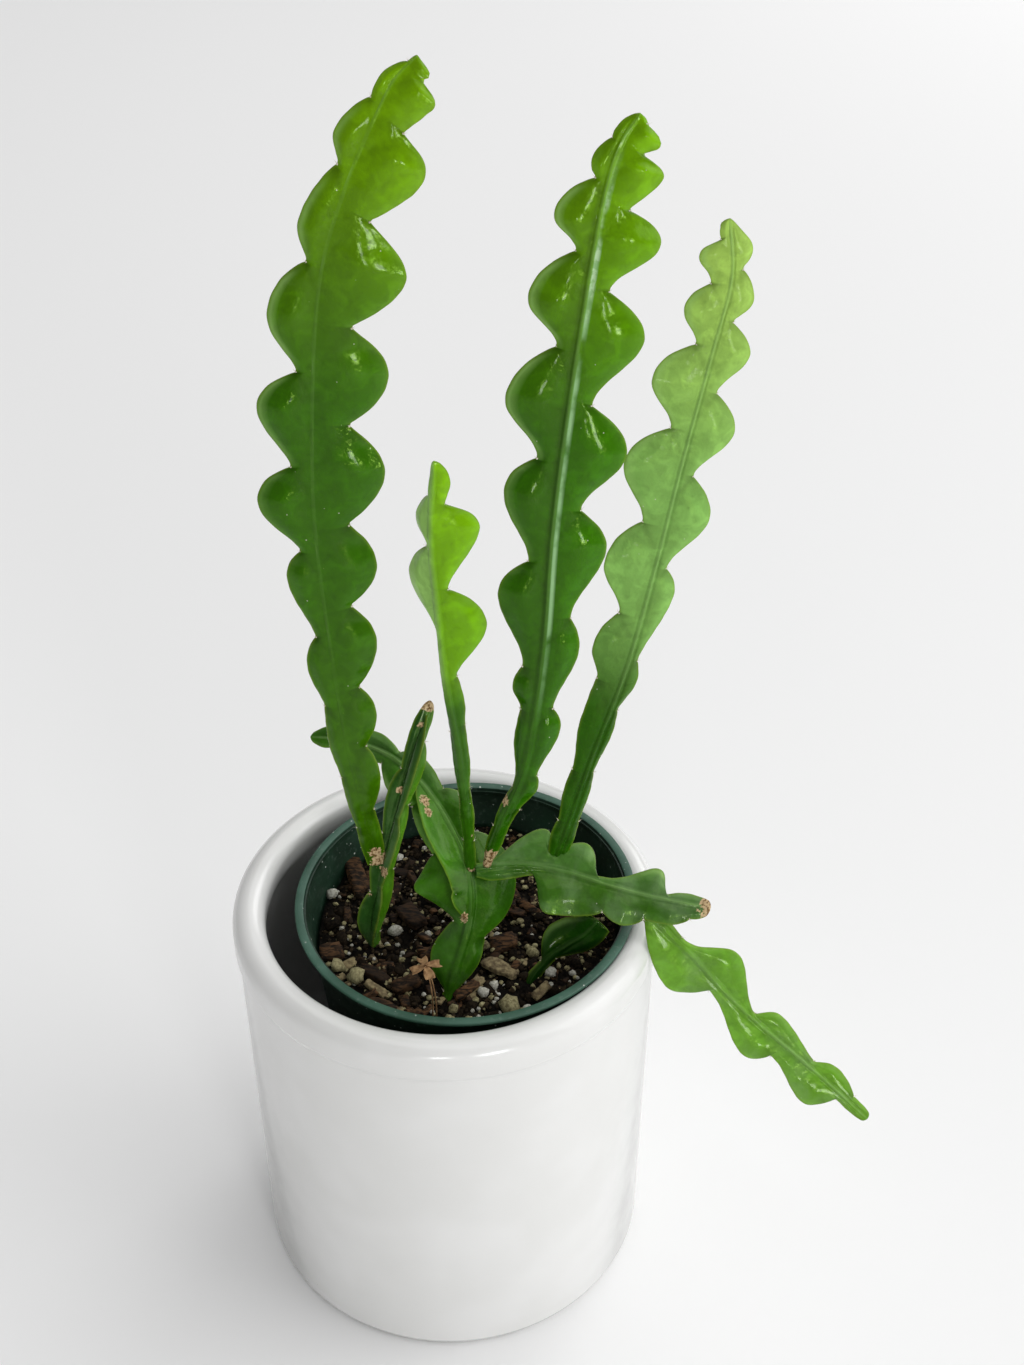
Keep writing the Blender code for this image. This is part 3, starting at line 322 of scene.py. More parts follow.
# Loose bits of soil: how knobbly each kind is and its seed, how many are scattered, and the least and
# the greatest half sizes in mm and lift
HEAPS = {
    "soil_crumbs": (0.5, 3, 2300, (0.3, 0.26, 0.22), (1.25, 0.9, 0.7), -0.1, 0.8),
    "soil_clods": (0.55, 23, 260, (0.9, 0.8, 0.6), (2.6, 2.0, 1.4), -0.2, 0.4),
    "soil_bark": (0.26, 5, 120, (1.0, 0.6, 0.4), (4.4, 1.7, 1.2), -0.1, 0.6),
    "soil_flakes": (0.30, 8, 60, (0.7, 0.5, 0.25), (2.6, 1.3, 0.6), 0.1, 0.8),
    "soil_perlite": (0.35, 11, 170, (0.35, 0.35, 0.3), (1.0, 0.95, 0.8), 0.0, 0.8),
    "soil_pumice": (0.42, 17, 450, (0.35, 0.32, 0.28), (1.35, 1.1, 0.9), 0.0, 0.8),
}

# Larger bits that can be told apart: place on the soil and half sizes in mm, then turn
PERLITE_SPOTS = [(-16.2, -3.0, 2.2), (-16.5, 30.3, 1.5), (-37.2, 14.0, 2.0), (-5.9, -4.3, 1.3),
                 (15.8, -5.3, 1.5), (14.8, -25.9, 1.7), (11.7, -29.5, 1.9), (32.0, -22.0, 1.9),
                 (24.8, -35.1, 1.4), (-0.1, -40.5, 1.1), (38.8, -21.0, 1.2), (-9.8, -6.5, 1.0)]
PUMICE_SPOTS = [(-27.0, -22.2, 2.9), (-17.1, -28.7, 1.5), (19.5, -35.0, 3.4), (1.8, -39.3, 1.7),
                (5.7, -22.8, 1.3), (16.4, -39.5, 1.5), (26.6, -12.6, 2.0), (12.4, -10.4, 1.8),
                (-32.9, -18.2, 2.4), (2.8, -35.0, 1.8), (-4.6, -40.8, 1.2), (7.6, -38.8, 1.3)]
BARK_SPOTS = [(-21.3, -21.0, 5.0, 2.1, 2.6), (-11.6, -25.8, 4.4, 2.4, 0.4),
              (-18.4, -35.0, 5.0, 2.3, 2.7), (6.6, -28.5, 4.6, 1.8, 0.7),
              (-29.9, 21.5, 8.0, 3.0, 1.9), (-35.4, -11.4, 3.6, 3.0, 0.2),
              (-11.3, 2.6, 5.0, 3.2, 2.2), (17.6, -9.9, 4.4, 3.2, 0.3),
              (-9.0, -38.0, 3.0, 1.6, 0.5)]
FLAKE_SPOTS = [(16.9, -19.1, 5.6, 3.2, 2.7), (-30.5, -17.0, 3.4, 1.5, 0.5),
               (8.6, -27.0, 4.2, 1.7, 0.9), (-20.5, -27.5, 4.2, 1.4, 2.5),
               (29.0, -29.9, 3.6, 1.5, 0.8), (-12.5, -37.5, 3.2, 1.2, 1.9)]


def show(name, data):
    """Links a camera, a light or a mesh into the scene as an object."""
    thing = bpy.data.objects.new(name, data)
    bpy.context.scene.collection.objects.link(thing)
    return thing


def make_camera():
    """The camera at the photograph's place, sized for its upright frame."""
    data = bpy.data.cameras.new("camera")
    data.sensor_fit = "VERTICAL"
    data.sensor_width = 36
    data.sensor_height = 36
    data.lens = CAMERA_LENS
    data.clip_start = 0.01
    data.clip_end = 50
    camera = show("camera", data)
    camera.location = CAMERA_PLACE
    camera.rotation_euler = (math.pi / 2 - CAMERA_DOWN, 0, 0)
    bpy.context.scene.camera = camera


def area_light(name, place, target, size, power):
    """A soft square light that faces a point."""
    data = bpy.data.lights.new(name, "AREA")
    data.shape = "SQUARE"
    data.size = size
    data.energy = power
    light = show(name, data)
    light.location = place
    light.rotation_euler = (Vector(target) - Vector(place)).to_track_quat("-Z", "Y").to_euler()


def make_light():
    """Dim surroundings, a wide soft light above, and the square lights."""
    world = bpy.data.worlds.new("studio")
    bpy.context.scene.world = world
    world.use_nodes = True
    background = world.node_tree.nodes["Background"]
    background.inputs["Color"].default_value = (1, 1, 1, 1)
    background.inputs["Strength"].default_value = WORLD_LIGHT
    sky = bpy.data.lights.new("sky", "SUN")
    sky.energy = SKY_LIGHT
    sky.angle = SKY_SPREAD
    show("sky", sky).rotation_euler = SKY_TURN
    for name, values in AREA_LIGHTS.items():
        area_light(name, *values)
    bpy.context.scene.view_settings.view_transform = "Standard"


def make_floor():
    """A wide plain pale floor."""
    mesh = bpy.data.meshes.new("floor")
    half = FLOOR_WIDTH / 2
    mesh.from_pydata([(-half, -half, 0), (half, -half, 0), (half, half, 0), (-half, half, 0)],
                     [], [(0, 1, 2, 3)])
    floor = show("floor", mesh)
    mesh.materials.append(Paint("floor_white").finish({"Base Color": FLOOR_WHITE, "Roughness": 0.9}))


class Paint:
    """A Principled material, with short ways to the nodes that its values are mixed from."""

    def __init__(self, name):
        self.material = bpy.data.materials.new(name)
        self.material.use_nodes = True
        self.tree = self.material.node_tree

    def put(self, socket, given):
        """Sets a socket to a number or a colour, or links it to another socket."""
        if isinstance(given, bpy.types.NodeSocket):
            self.tree.links.new(given, socket)
        elif socket.type == "RGBA":
            socket.default_value = (*given, 1)
        else:
            socket.default_value = given

    def node(self, kind, output, inputs, **settings):
        """Adds a node with its settings and inputs, and gives one of its outputs."""
        node = self.tree.nodes.new("ShaderNode" + kind)
        for name, setting in settings.items():
            setattr(node, name, setting)
        for key, given in inputs.items():
            self.put(node.inputs[key], given)
        return node.outputs[output]

    def finish(self, inputs):
        """Sets the shader's own inputs, and gives the material."""
        shader = self.tree.nodes["Principled BSDF"]
        for key, given in inputs.items():
            self.put(shader.inputs[key], given)
        return self.material

    def place(self, stretch=(1, 1, 1)):
        """Object coordinates, scaled along each axis."""
        coordinates = self.node("TexCoord", "Object", {})
        return self.node("Mapping", "Vector", {"Vector": coordinates, "Scale": stretch})

    def noise(self, size_mm, detail=3.0, stretch=(1, 1, 1), distortion=0.0):
        """Noise with bumps of about one size, between 0 and 1."""
        return self.node("TexNoise", "Fac", {"Vector": self.place(stretch), "Scale": 1 / (size_mm * MM),
                                             "Detail": detail, "Distortion": distortion})

    def cells(self, size_mm):
        """Distances in a pattern of cells of one size."""
        return self.node("TexVoronoi", "Distance", {"Vector": self.place(), "Scale": 1 / (size_mm * MM)})

    def mark(self, name):
        """A value that the mesh holds at its points."""
        return self.node("Attribute", "Fac", {}, attribute_name=name)

    def band(self, source, low, high):
        """Takes low to 0 and high to 1, and stays within them."""
        return self.node("MapRange", "Result", {"Value": source, "From Min": low, "From Max": high},
                         interpolation_type="SMOOTHSTEP")

    def plus(self, first, second):
        """The sum of two values."""
        return self.node("Math", "Value", {0: first, 1: second}, operation="ADD")

    def times(self, first, second):
        """The product of two values."""
        return self.node("Math", "Value", {0: first, 1: second}, operation="MULTIPLY")

    def mix(self, share, first, second):
        """One colour turning into another. The node's own names repeat, so its sockets go by
        number: 0 is the share, 6 and 7 the two colours, and the output 2 the result."""
        return self.node("Mix", 2, {0: share, 6: first, 7: second}, data_type="RGBA")

    def blend(self, colour, other, strength, mark):
        """Mixes in another colour, or the colour itself scaled by a number, where marked."""
        if isinstance(other, float):
            other = self.node("VectorMath", "Vector", {0: colour, "Scale": other}, operation="SCALE")
        return self.mix(self.times(mark, strength), colour, other)

    def specks(self, size_mm, reach, fade, rare_mm, detail, rare_low, rare_high):
        """Small round specks in cells, kept only where a wider noise is high."""
        speck = self.band(self.cells(size_mm), reach, fade)
        return self.times(speck, self.band(self.noise(rare_mm, detail), rare_low, rare_high))

    def bump(self, height, depth_mm, strength, before=None):
        """A bump of a real depth, which may lie over an earlier one."""
        inputs = {"Height": height, "Strength": strength, "Distance": depth_mm * MM}
        if before is not None:
            inputs["Normal"] = before
        return self.node("Bump", "Normal", inputs)


def glaze_material():
    """White glaze, faintly clouded and rippled, with a few dark pinholes."""
    paint = Paint("glazed_white")
    cloud = paint.band(paint.noise(34, 2.0), 0.35, 0.7)
    white = paint.mix(cloud, (0.735, 0.735, 0.72), (0.775, 0.775, 0.765))
    pinholes = paint.specks(9, 0.030, 0.018, 13, 1.0, 0.56, 0.60)
    return paint.finish({
        "Base Color": paint.mix(pinholes, white, (0.22, 0.19, 0.15)),
        "Roughness": paint.plus(0.16, paint.times(paint.noise(9), 0.12)),
        "Normal": paint.bump(paint.noise(16, 1.5, stretch=(1, 1, 0.6)), 0.35, 0.5),
        "Coat Weight": 0.35,
        "Coat Roughness": 0.12,
    })


def plastic_material():
    """Green plastic with scuffs, dust and pale specks of perlite: its own green on the rim, and near-black
    elsewhere as painted shade for the inner wall.
    """
    paint = Paint("green_plastic")
    cloud = paint.band(paint.noise(11, 4.0), 0.3, 0.75)
    # Near-black green: painted shade for the inner wall.
    green = paint.mix(cloud, (0.004, 0.018, 0.008), (0.009, 0.036, 0.018))
    worn = paint.mix(cloud, (0.022, 0.078, 0.048), (0.045, 0.125, 0.085))
    green = paint.mix(paint.mark("rim"), green, worn)
    dusty = paint.blend(green, (0.20, 0.27, 0.23), 0.20, paint.band(paint.noise(1.6, 5.0), 0.56, 0.75))
    perlite = paint.specks(2.3, 0.16, 0.10, 3.1, 2.0, 0.53, 0.60)
    return paint.finish({
        "Base Color": paint.mix(perlite, dusty, (0.55, 0.60, 0.55)),
        "Roughness": paint.plus(0.34, paint.times(paint.noise(2.4, 4.0), 0.3)),
        "Normal": paint.bump(paint.noise(0.9, 4.0), 0.05, 0.5),
    })


def mottled(paint, green):
    """The green of a stem with its lighter and darker patches, a painted glow on the outer flanks, painted
    shade near the notches, and veins.
    """
    green = paint.blend(green, 1.7, 0.45, paint.band(paint.noise(5, 4.0, distortion=0.8), 0.40, 0.72))
    green = paint.blend(green, 0.5, 0.40, paint.band(paint.noise(3, 4.0, distortion=0.5), 0.50, 0.80))
    green = paint.blend(green, 1.8, 0.40, paint.mark("glow"))
    green = paint.blend(green, 0.30, 0.60, paint.mark("shade"))
    return paint.blend(green, 0.45, 0.30, paint.mark("vein"))


def stripped(paint, green, height, strip):
    """The green of a stem with a painted highlight as a pale broken strip along one side of its rib,
    a brighter painted gleam high on the strip, and painted shade darkening the groove along the other
    side."""
    part = paint.times(paint.band(height, *STRIP_STARTS), paint.band(height, *STRIP_ENDS))
    broken = paint.band(paint.noise(9), 0.30, 0.55)
    highlight_streak = paint.times(part, paint.times(broken, paint.mark("strip")))
    green = paint.blend(green, 0.50, 0.60, paint.times(part, paint.mark("furrow")))
    green = paint.blend(green, HIGHLIGHT_STRIP_GREEN, strip, highlight_streak)
    gleam = paint.times(paint.band(paint.noise(2.2, 4.0), 0.44, 0.56), paint.band(height, 0.74, 0.84))
    return paint.blend(green, GLEAM_GREEN, 0.85, paint.times(gleam, highlight_streak))


def edged(paint, green, height, rib):
    """The green of a stem with a painted pale sheen along its margin, a painted highlight along its rib's
    crest, its yellow rim and a few pale specks.
    """
    # Painted sheen: a pale band inside the margin, strongest on the left half.
    milk = paint.times(paint.band(height, 0.35, 0.75), paint.mark("milk"))
    green = paint.blend(green, MARGIN_SHEEN_GREEN, 0.62, milk)
    # Painted highlight: a pale line along the rib's crest.
    line = paint.times(paint.mark("rib"), paint.band(height, 0.10, 0.62))
    green = paint.blend(green, CREST_HIGHLIGHT_GREEN, rib, line)
    green = paint.blend(green, EDGE_YELLOW, 0.55, paint.mark("edge"))
    return paint.mix(paint.specks(3.2, 0.065, 0.040, 5.0, 1.0, 0.57, 0.62), green, SPECK_GREY)


def stem_material(name, low, middle, top, rise=(0.05, 0.50), left=None, left_rise=(-0.2, -0.1),
                  shine=0.15, bloom_and_sheen=0.0, strip=0.0, rib=0.65, coat=0.17):
    """Waxy green skin that lightens up the stem, with painted glow, shade, sheen and highlights, a yellow
    rim, a pale rib line painted as a highlight and cork marks.
    """
    paint = Paint(name)
    height = paint.mark("height")
    green = paint.mix(paint.band(height, *rise), low, middle)
    green = paint.mix(paint.band(height, 0.60, 1.0), green, top)
    if left is not None:
        on_left = paint.times(paint.mark("left"), paint.band(height, *left_rise))
        green = paint.blend(green, left, 0.9, on_left)
    green = mottled(paint, green)
    if bloom_and_sheen:
        # Pale patches: waxy bloom mixed with painted sheen.
        bloom_and_sheen_patches = paint.band(paint.noise(11, 4.0, distortion=0.3), 0.42, 0.72)
        green = paint.blend(green, BLOOM_AND_SHEEN_GREY, bloom_and_sheen, bloom_and_sheen_patches)
    if strip:
        green = stripped(paint, green, height, strip)
    green = edged(paint, green, height, rib)
    grain = paint.noise(0.7, 5.0)
    cork = paint.mix(paint.band(grain, 0.36, 0.60), CORK_DARK, CORK_LIGHT)
    ragged = paint.plus(paint.plus(grain, paint.noise(2.2)), -1.0)
    dry = paint.band(paint.plus(paint.mark("dry"), ragged), 0.42, 0.58)
    dull = paint.times(paint.band(paint.noise(6), 0.40, 0.75), 0.12)
    fine_bumps = paint.bump(paint.noise(1.3), 0.15, 0.8)
    return paint.finish({
        "Base Color": paint.mix(dry, green, cork),
        "Roughness": paint.plus(paint.plus(dull, shine), paint.times(dry, 0.5)),
        "Normal": paint.bump(paint.noise(3.6, 2.0), 0.27, 0.8, fine_bumps),
        "Specular IOR Level": 0.26,
        "Specular Tint": GLOSS_TINT,
        "Coat Weight": coat,
        "Coat Roughness": 0.09,
    })


def speckled_material(name, dark, light, size_mm, roughness=0.9, depth_mm=0.25, toned=0.0, gloss=0.5):
    """A rough grain, chip or lump, mottled at one size, and lighter or darker bit by bit."""
    paint = Paint(name)
    cloud = paint.band(paint.noise(size_mm, 5.0), 0.34, 0.66)
    cloud = paint.mix(toned, cloud, paint.mark("tone"))
    return paint.finish({
        "Base Color": paint.mix(cloud, dark, light),
        "Roughness": roughness,
        "Specular IOR Level": gloss,
        "Normal": paint.bump(paint.noise(size_mm * 0.6, 4.0), depth_mm, 0.8),
    })


def bark_material(name, dark, light):
    """Bark with a grain that runs along it."""
    paint = Paint(name)
    grain = paint.noise(1.1, 5.0, stretch=(0.35, 1, 1), distortion=0.8)
    colour = paint.mix(paint.band(grain, 0.35, 0.68), dark, light)
    return paint.finish({
        "Base Color": paint.blend(colour, dark, 0.9, paint.mark("tone")),
        "Roughness": 0.85,
        "Specular IOR Level": 0.2,
        "Normal": paint.bump(grain, 0.4, 0.9),
    })


def add_piece(name, points, faces, material, smooth=True, in_pot=False):
    """A mesh from points in mm as a named piece of the plant that rides on the root body. The
    points may be given in the leaning grower's pot's own frame."""
    points = np.array(points, float) * MM
    if in_pot:
        matrix = grower_matrix()
        points = points @ np.array(matrix.to_3x3()).T + np.array(matrix.translation)
    mesh = bpy.data.meshes.new(name)
    mesh.from_pydata(points.tolist(), [], faces)
    mesh.validate()
    if smooth:
        mesh.shade_smooth()
    mesh.materials.append(material)
    piece = show(name, mesh)
    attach(piece, "root")
    return piece


def add_marks(piece, **marks):
    """Stores values at the points of a mesh for its material."""
    for name, values in marks.items():
        attribute = piece.data.attributes.new(name, "FLOAT", "POINT")
        attribute.data.foreach_set("value", np.asarray(values, np.float32))


def circle(sides, radius, height):
    """Points round a level circle."""
    angles = [2 * math.pi * side / sides for side in range(sides)]
    return [(radius * math.cos(angle), radius * math.sin(angle), height) for angle in angles]


def ring_faces(base, rings, sides, inward=False):
    """The faces between rings of points that follow one another from a base point on."""
    faces = []
    for ring in range(rings - 1):
        first = base + ring * sides
        second = first + sides
        for side in range(sides):
            after = (side + 1) % sides
            if inward:
                faces.append((first + side, second + side, second + after, first + after))
            else:
                faces.append((first + side, first + after, second + after, second + side))
    return faces


def turned_piece(name, profile, material, in_pot=False):
    """A body turned round Z from (radius, height) points in mm, which start and end on the axis."""
    points = []
    for radius, height in profile[1:-1]:
        points += circle(POT_SIDES, radius, height)
    low = len(points)
    last = low - POT_SIDES
    points += [(0, 0, profile[0][1]), (0, 0, profile[-1][1])]
    faces = ring_faces(0, len(profile) - 2, POT_SIDES)
    for side in range(POT_SIDES):
        after = (side + 1) % POT_SIDES
        faces.append((low, after, side))
        faces.append((last + side, last + after, low + 1))
    piece = add_piece(name, points, faces, material, in_pot=in_pot)
    piece.data.set_sharp_from_angle(angle=math.radians(50))
    return piece


def arc(centre, radii, start, end, steps):
    """Points on an arc, by angles in degrees."""
    found = []
    for step in range(steps + 1):
        angle = math.radians(start + (end - start) * step / steps)
        found.append((centre[0] + radii[0] * math.cos(angle), centre[1] + radii[1] * math.sin(angle)))
    return found


def make_cover_pot():
    """The glazed cylinder with its rounded lip, in place of the plain one. Just under the lip its
    wall swells by 1 mm over a height of 3.5 mm."""
    middle = (COVER_LIP_OUTER + COVER_LIP_INNER) / 2
    half = (COVER_LIP_OUTER - COVER_LIP_INNER) / 2
    crown = arc((middle, COVER_HEIGHT - COVER_LIP_RISE), (half, COVER_LIP_RISE), 0, 180, 24)
    under = COVER_HEIGHT - COVER_LIP_DEPTH
    shoulder = [(COVER_BODY_TOP + 0.5 - 0.5 * math.cos(math.pi * share), under - 1.5 + 3.5 * share)
                for share in np.linspace(0, 1, 7)]
    profile = [
        (0, 0.0),
        (COVER_FOOT - 0.6, 0.0),
        (COVER_FOOT, 0.5),
        (COVER_FOOT + 0.1, 1.6),
        (COVER_BODY_BASE - 0.4, 2.2),
        (COVER_BODY_BASE, 3.4),
        *shoulder,
        *crown,
        (COVER_LIP_INNER, under + 4),
        (COVER_LIP_INNER + 0.8, under + 0.8),
        (COVER_INNER, under - 2),
        (COVER_INNER, COVER_FLOOR + 4),
        (COVER_INNER - 1.2, COVER_FLOOR + 1.2),
        (COVER_INNER - 4, COVER_FLOOR),
        (0, COVER_FLOOR),
    ]
    pot = turned_piece("cover_pot_glazed", profile, glaze_material())
    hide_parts("cover_pot")


def grower_matrix():
    """Where the grower's pot stands: moved to the right and leaning."""
    lean = Euler((GROWER_LEAN_BACK, -GROWER_LEAN_RIGHT, 0)).to_matrix().to_4x4()
    return Matrix.Translation(Vector(GROWER_OFFSET) * MM) @ lean


def make_grower_pot():
    """The thin green pot with its flat rim, in place of the plain one. The points of the profile
    from one of GROWER_RIM_ROWS up to the other are marked as its rim, which keeps the pot's own
    green, and the rest is darkened as painted shade."""
    top = GROWER_HEIGHT
    under = top - GROWER_RIM_THICK
    profile = [
        (0, 0.0),
        (GROWER_BASE - 1.5, 0.0),
        (GROWER_BASE - 0.4, 0.4),
        (GROWER_BASE, GROWER_WALL_START),
        (GROWER_NECK, under),
        (GROWER_RIM - 0.2, under),
        (GROWER_RIM, under + 0.2),
        (GROWER_RIM, top - 0.35),
        (GROWER_RIM - 0.12, top - 0.1),
        (GROWER_RIM - 0.4, top),
        (GROWER_RIM_INNER + 0.5, top),
        (GROWER_RIM_INNER + 0.1, top - 0.2),
        (GROWER_RIM_INNER, top - 0.7),
        (GROWER_NECK - GROWER_WALL, top - 5),
        (GROWER_BASE - GROWER_WALL, GROWER_FLOOR),
        (0, GROWER_FLOOR),
    ]
    pot = turned_piece("grower_pot_plastic", profile, plastic_material(), in_pot=True)
    first, last = GROWER_RIM_ROWS
    rim = np.zeros(len(pot.data.vertices))
    rim[(first - 1) * POT_SIDES:last * POT_SIDES] = 1
    add_marks(pot, rim=rim)
    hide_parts("grower_pot")


def smooth_path(controls, count):
    """Even points on a smooth curve through the control points, with their distances."""
    controls = np.array(controls, float)
    before = 2 * controls[0] - controls[1]
    after = 2 * controls[-1] - controls[-2]
    padded = np.vstack([before, controls, after])
    fine = []
    for index in range(len(controls) - 1):
        p0, p1, p2, p3 = padded[index:index + 4]
        for t in np.linspace(0, 1, PATH_STEPS, endpoint=False):
            fine.append(0.5 * (2 * p1 + (p2 - p0) * t + (2 * p0 - 5 * p1 + 4 * p2 - p3) * t ** 2
                               + (3 * p1 - p0 - 3 * p2 + p3) * t ** 3))
    fine.append(controls[-1])
    fine = np.array(fine)
    along = np.concatenate([[0], np.cumsum(np.linalg.norm(np.diff(fine, axis=0), axis=1))])
    even = np.linspace(0, along[-1], count)
    return np.column_stack([np.interp(even, along, fine[:, axis]) for axis in range(3)]), even


class Spine:
    """A smooth spine in mm with the side and face directions of the blade on it."""

    def __init__(self, controls, face, span=None):
        self.points, self.along = smooth_path(controls, SPINE_POINTS)
        start, end = span or (0, self.along[-1])
        kept = (self.along >= start) & (self.along <= end)
        self.points = self.points[kept]
        self.along = self.along[kept] - self.along[kept][0]
        self.length = self.along[-1]
        tangent = np.gradient(self.points, axis=0)
        tangent /= np.linalg.norm(tangent, axis=1)[:, None]
        stations = np.linspace(0, self.length, len(face))
        face = np.array(face, float)
        facing = np.column_stack([np.interp(self.along, stations, face[:, axis]) for axis in range(3)])
        facing -= (facing * tangent).sum(1)[:, None] * tangent
        self.normal = facing / np.linalg.norm(facing, axis=1)[:, None]
        self.side = np.cross(tangent, self.normal)

    def at(self, distances):
        """Points, sides and normals at many distances along the spine."""
        found = []
        for values in (self.points, self.side, self.normal):
            found.append(np.column_stack([np.interp(distances, self.along, values[:, axis])
                                          for axis in range(3)]))
        for values in found[1:]:
            values /= np.linalg.norm(values, axis=1)[:, None]
        return found


def half_width(keys, distance, swell):
    """The half width of a waved edge between its notches and lobes."""
    index = 0
    while index < len(keys) - 2 and distance > keys[index + 1][0]:
        index += 1
    start, low = keys[index][:2]
    end, high, *hollow = keys[index + 1]
    rising = index % 2 == 0
    if rising:
        start += min(NOTCH_STEP, NOTCH_STEP_SHARE * (end - start))
    share = min(max((distance - start) / (end - start), 0), 1)
    if not rising:
        low, high, share = high, low, 1 - share
    power = hollow[0] if hollow else swell[index % 2]
    return low + (high - low) * math.sin(math.pi / 2 * share) ** power


def rounded_edge(run, distance, width, notches):
    """The edge's line with its corners rounded off, except at the notches."""
    reach = np.minimum(LOBE_ROUND, np.abs(run[:, None] - notches[None, :]).min(axis=1))
    reach = np.maximum(reach, FINE_STEP)
    found = []
    for values in (distance, width):
        area = np.concatenate([[0], np.cumsum((values[1:] + values[:-1]) / 2 * np.diff(run))])
        ahead = np.interp(run + reach, run, area)
        behind = np.interp(run - reach, run, area)
        found.append((ahead - behind) / (np.minimum(run + reach, run[-1]) - np.maximum(run - reach, 0)))
    return found


def edge_rows(keys, swell, length, stations):
    """For each row of the mesh, where its edge point lies and how far out it is. Rows crowd on
    the steep flanks of the lobes, and one meets each notch."""
    scale = length / keys[-1][0]
    fine = np.linspace(0, length, int(length / FINE_STEP))
    width = np.array([half_width(keys, distance / scale, swell) for distance in fine])
    steps = np.hypot(np.diff(fine), np.diff(width))
    run = np.concatenate([[0], np.cumsum(steps)])
    pins = [0] + [key[0] * scale for key in keys[1:-1:2]] + [length]
    places = np.interp(stations, pins, np.interp(pins, fine, run))
    notches = np.interp([0] + [key[0] * scale for key in keys[2:-1:2]] + [length], fine, run)
    for notch in notches[1:-1]:
        places[np.abs(places - notch).argmin()] = notch
    distance, width = rounded_edge(run, fine, width, notches)
    return np.interp(places, run, distance), np.interp(places, run, width)


def column_places(width):
    """Distances from the midrib of the columns of points, for each row's half width."""
    wide = np.maximum(width, NARROW)
    near = [np.full_like(wide, place) for place in NEAR_COLUMNS]
    start = NEAR_COLUMNS[-1]
    end = wide - EDGE_COLUMNS[0]
    middle = [start + (end - start) * step / FAR_COLUMNS for step in range(1, FAR_COLUMNS)]
    outer = [wide - inset for inset in EDGE_COLUMNS] + [wide]
    places = np.column_stack(near + middle + outer)
    return places * (width / wide)[:, None]


def smoothstep(values):
    """An even S between 0 and 1."""
    values = np.clip(values, 0, 1)
    return values * values * (3 - 2 * values)


def cord(places, ridge, slim):
    """The raised cord of the midrib, slimmer toward the tip, with a groove along its foot, in mm."""
    rise, inner, outer, depth, groove = ridge
    places = places / slim
    crest = rise * (1 - smoothstep((places - inner) / (outer - inner)))
    return crest * slim - depth * np.exp(-((places - groove) / 0.35) ** 2)


def thickness(places, width, ridge, slim):
    """Half of the blade's thickness across each row, in mm, and how full its rounded edge is."""
    inset = width[:, None] - places
    soft = np.minimum(MARGIN_SOFT, 0.5 * width)[:, None]
    flesh = MARGIN_HALF + (BLADE_HALF - MARGIN_HALF) * smoothstep(inset / soft)
    low = np.minimum(1, width / 3)[:, None]
    turn = np.minimum(EDGE_ROUND, 0.45 * width)[:, None]
    rounding = np.sqrt(1 - (1 - np.clip(inset / turn, 0, 1)) ** 2)
    return (flesh + low * cord(places, ridge, slim[:, None])) * rounding, rounding


def lobe_shares(keys, scale, distance):
    """How far each edge point is up to its lobe's peak, and how far on from it to the notch."""
    rising = np.zeros_like(distance)
    falling = np.zeros_like(distance)
    for index in range(1, len(keys) - 1, 2):
        start, peak, end = [keys[index + step][0] * scale for step in (-1, 0, 1)]
        inside = (distance >= start) & (distance <= end)
        rising[inside] = np.clip((distance[inside] - start) / (peak - start), 0, 1)
        falling[inside] = np.clip((distance[inside] - peak) / (end - peak), 0, 1)
    return rising, falling


def crease_lines(keys, scale):
    """Where a faint vein runs from the midrib to each notch, as two (distance, out) ends."""
    lines = []
    for key in keys[2:-1:2]:
        lines.append(((key[0] * scale - 1.1 * key[1] - 2, 0.0), (key[0] * scale, key[1])))
    return lines


def near_line(distance, out, line):
    """How far each point is from a line between two ends."""
    (x0, y0), (x1, y1) = line
    share = ((distance - x0) * (x1 - x0) + (out - y0) * (y1 - y0)) / ((x1 - x0) ** 2 + (y1 - y0) ** 2)
    share = np.clip(share, 0, 1)
    return np.hypot(distance - x0 - share * (x1 - x0), out - y0 - share * (y1 - y0))


def rough(points, size, seed):
    """Noise at each point, between -1 and 1."""
    offset = Vector((seed, seed * 0.7, -seed))
    return np.array([noise.noise(Vector(point) / size + offset) for point in points])


def bent_sheet(places, width, along, rising, falling, hand, look):
    """How far the blade bends out of its plane: cushions, rolled upper flanks and slow waves."""
    share = places / width[:, None]
    lobe = np.minimum(1, width / BEND_WIDTH)[:, None]
    cushion = look["puff"] * lobe * np.sin(math.pi * np.clip(share, 0, 1)) ** 2
    cushion = cushion * (0.3 + 0.7 * smoothstep(rising) * (1 - smoothstep(falling)))[:, None]
    rolled = look["roll"] * lobe * smoothstep((share - 0.2) / 0.8)
    rolled = rolled * (smoothstep(falling / 0.6) * (1 - smoothstep((falling - 0.5) / 0.5)))[:, None]
    reach = (places / BEND_REACH) ** 2
    wave = look["wave"] * reach * np.sin(along * 0.13 + 1.7 * hand + look["seed"])
    return cushion - rolled + wave - look["curl"] * reach


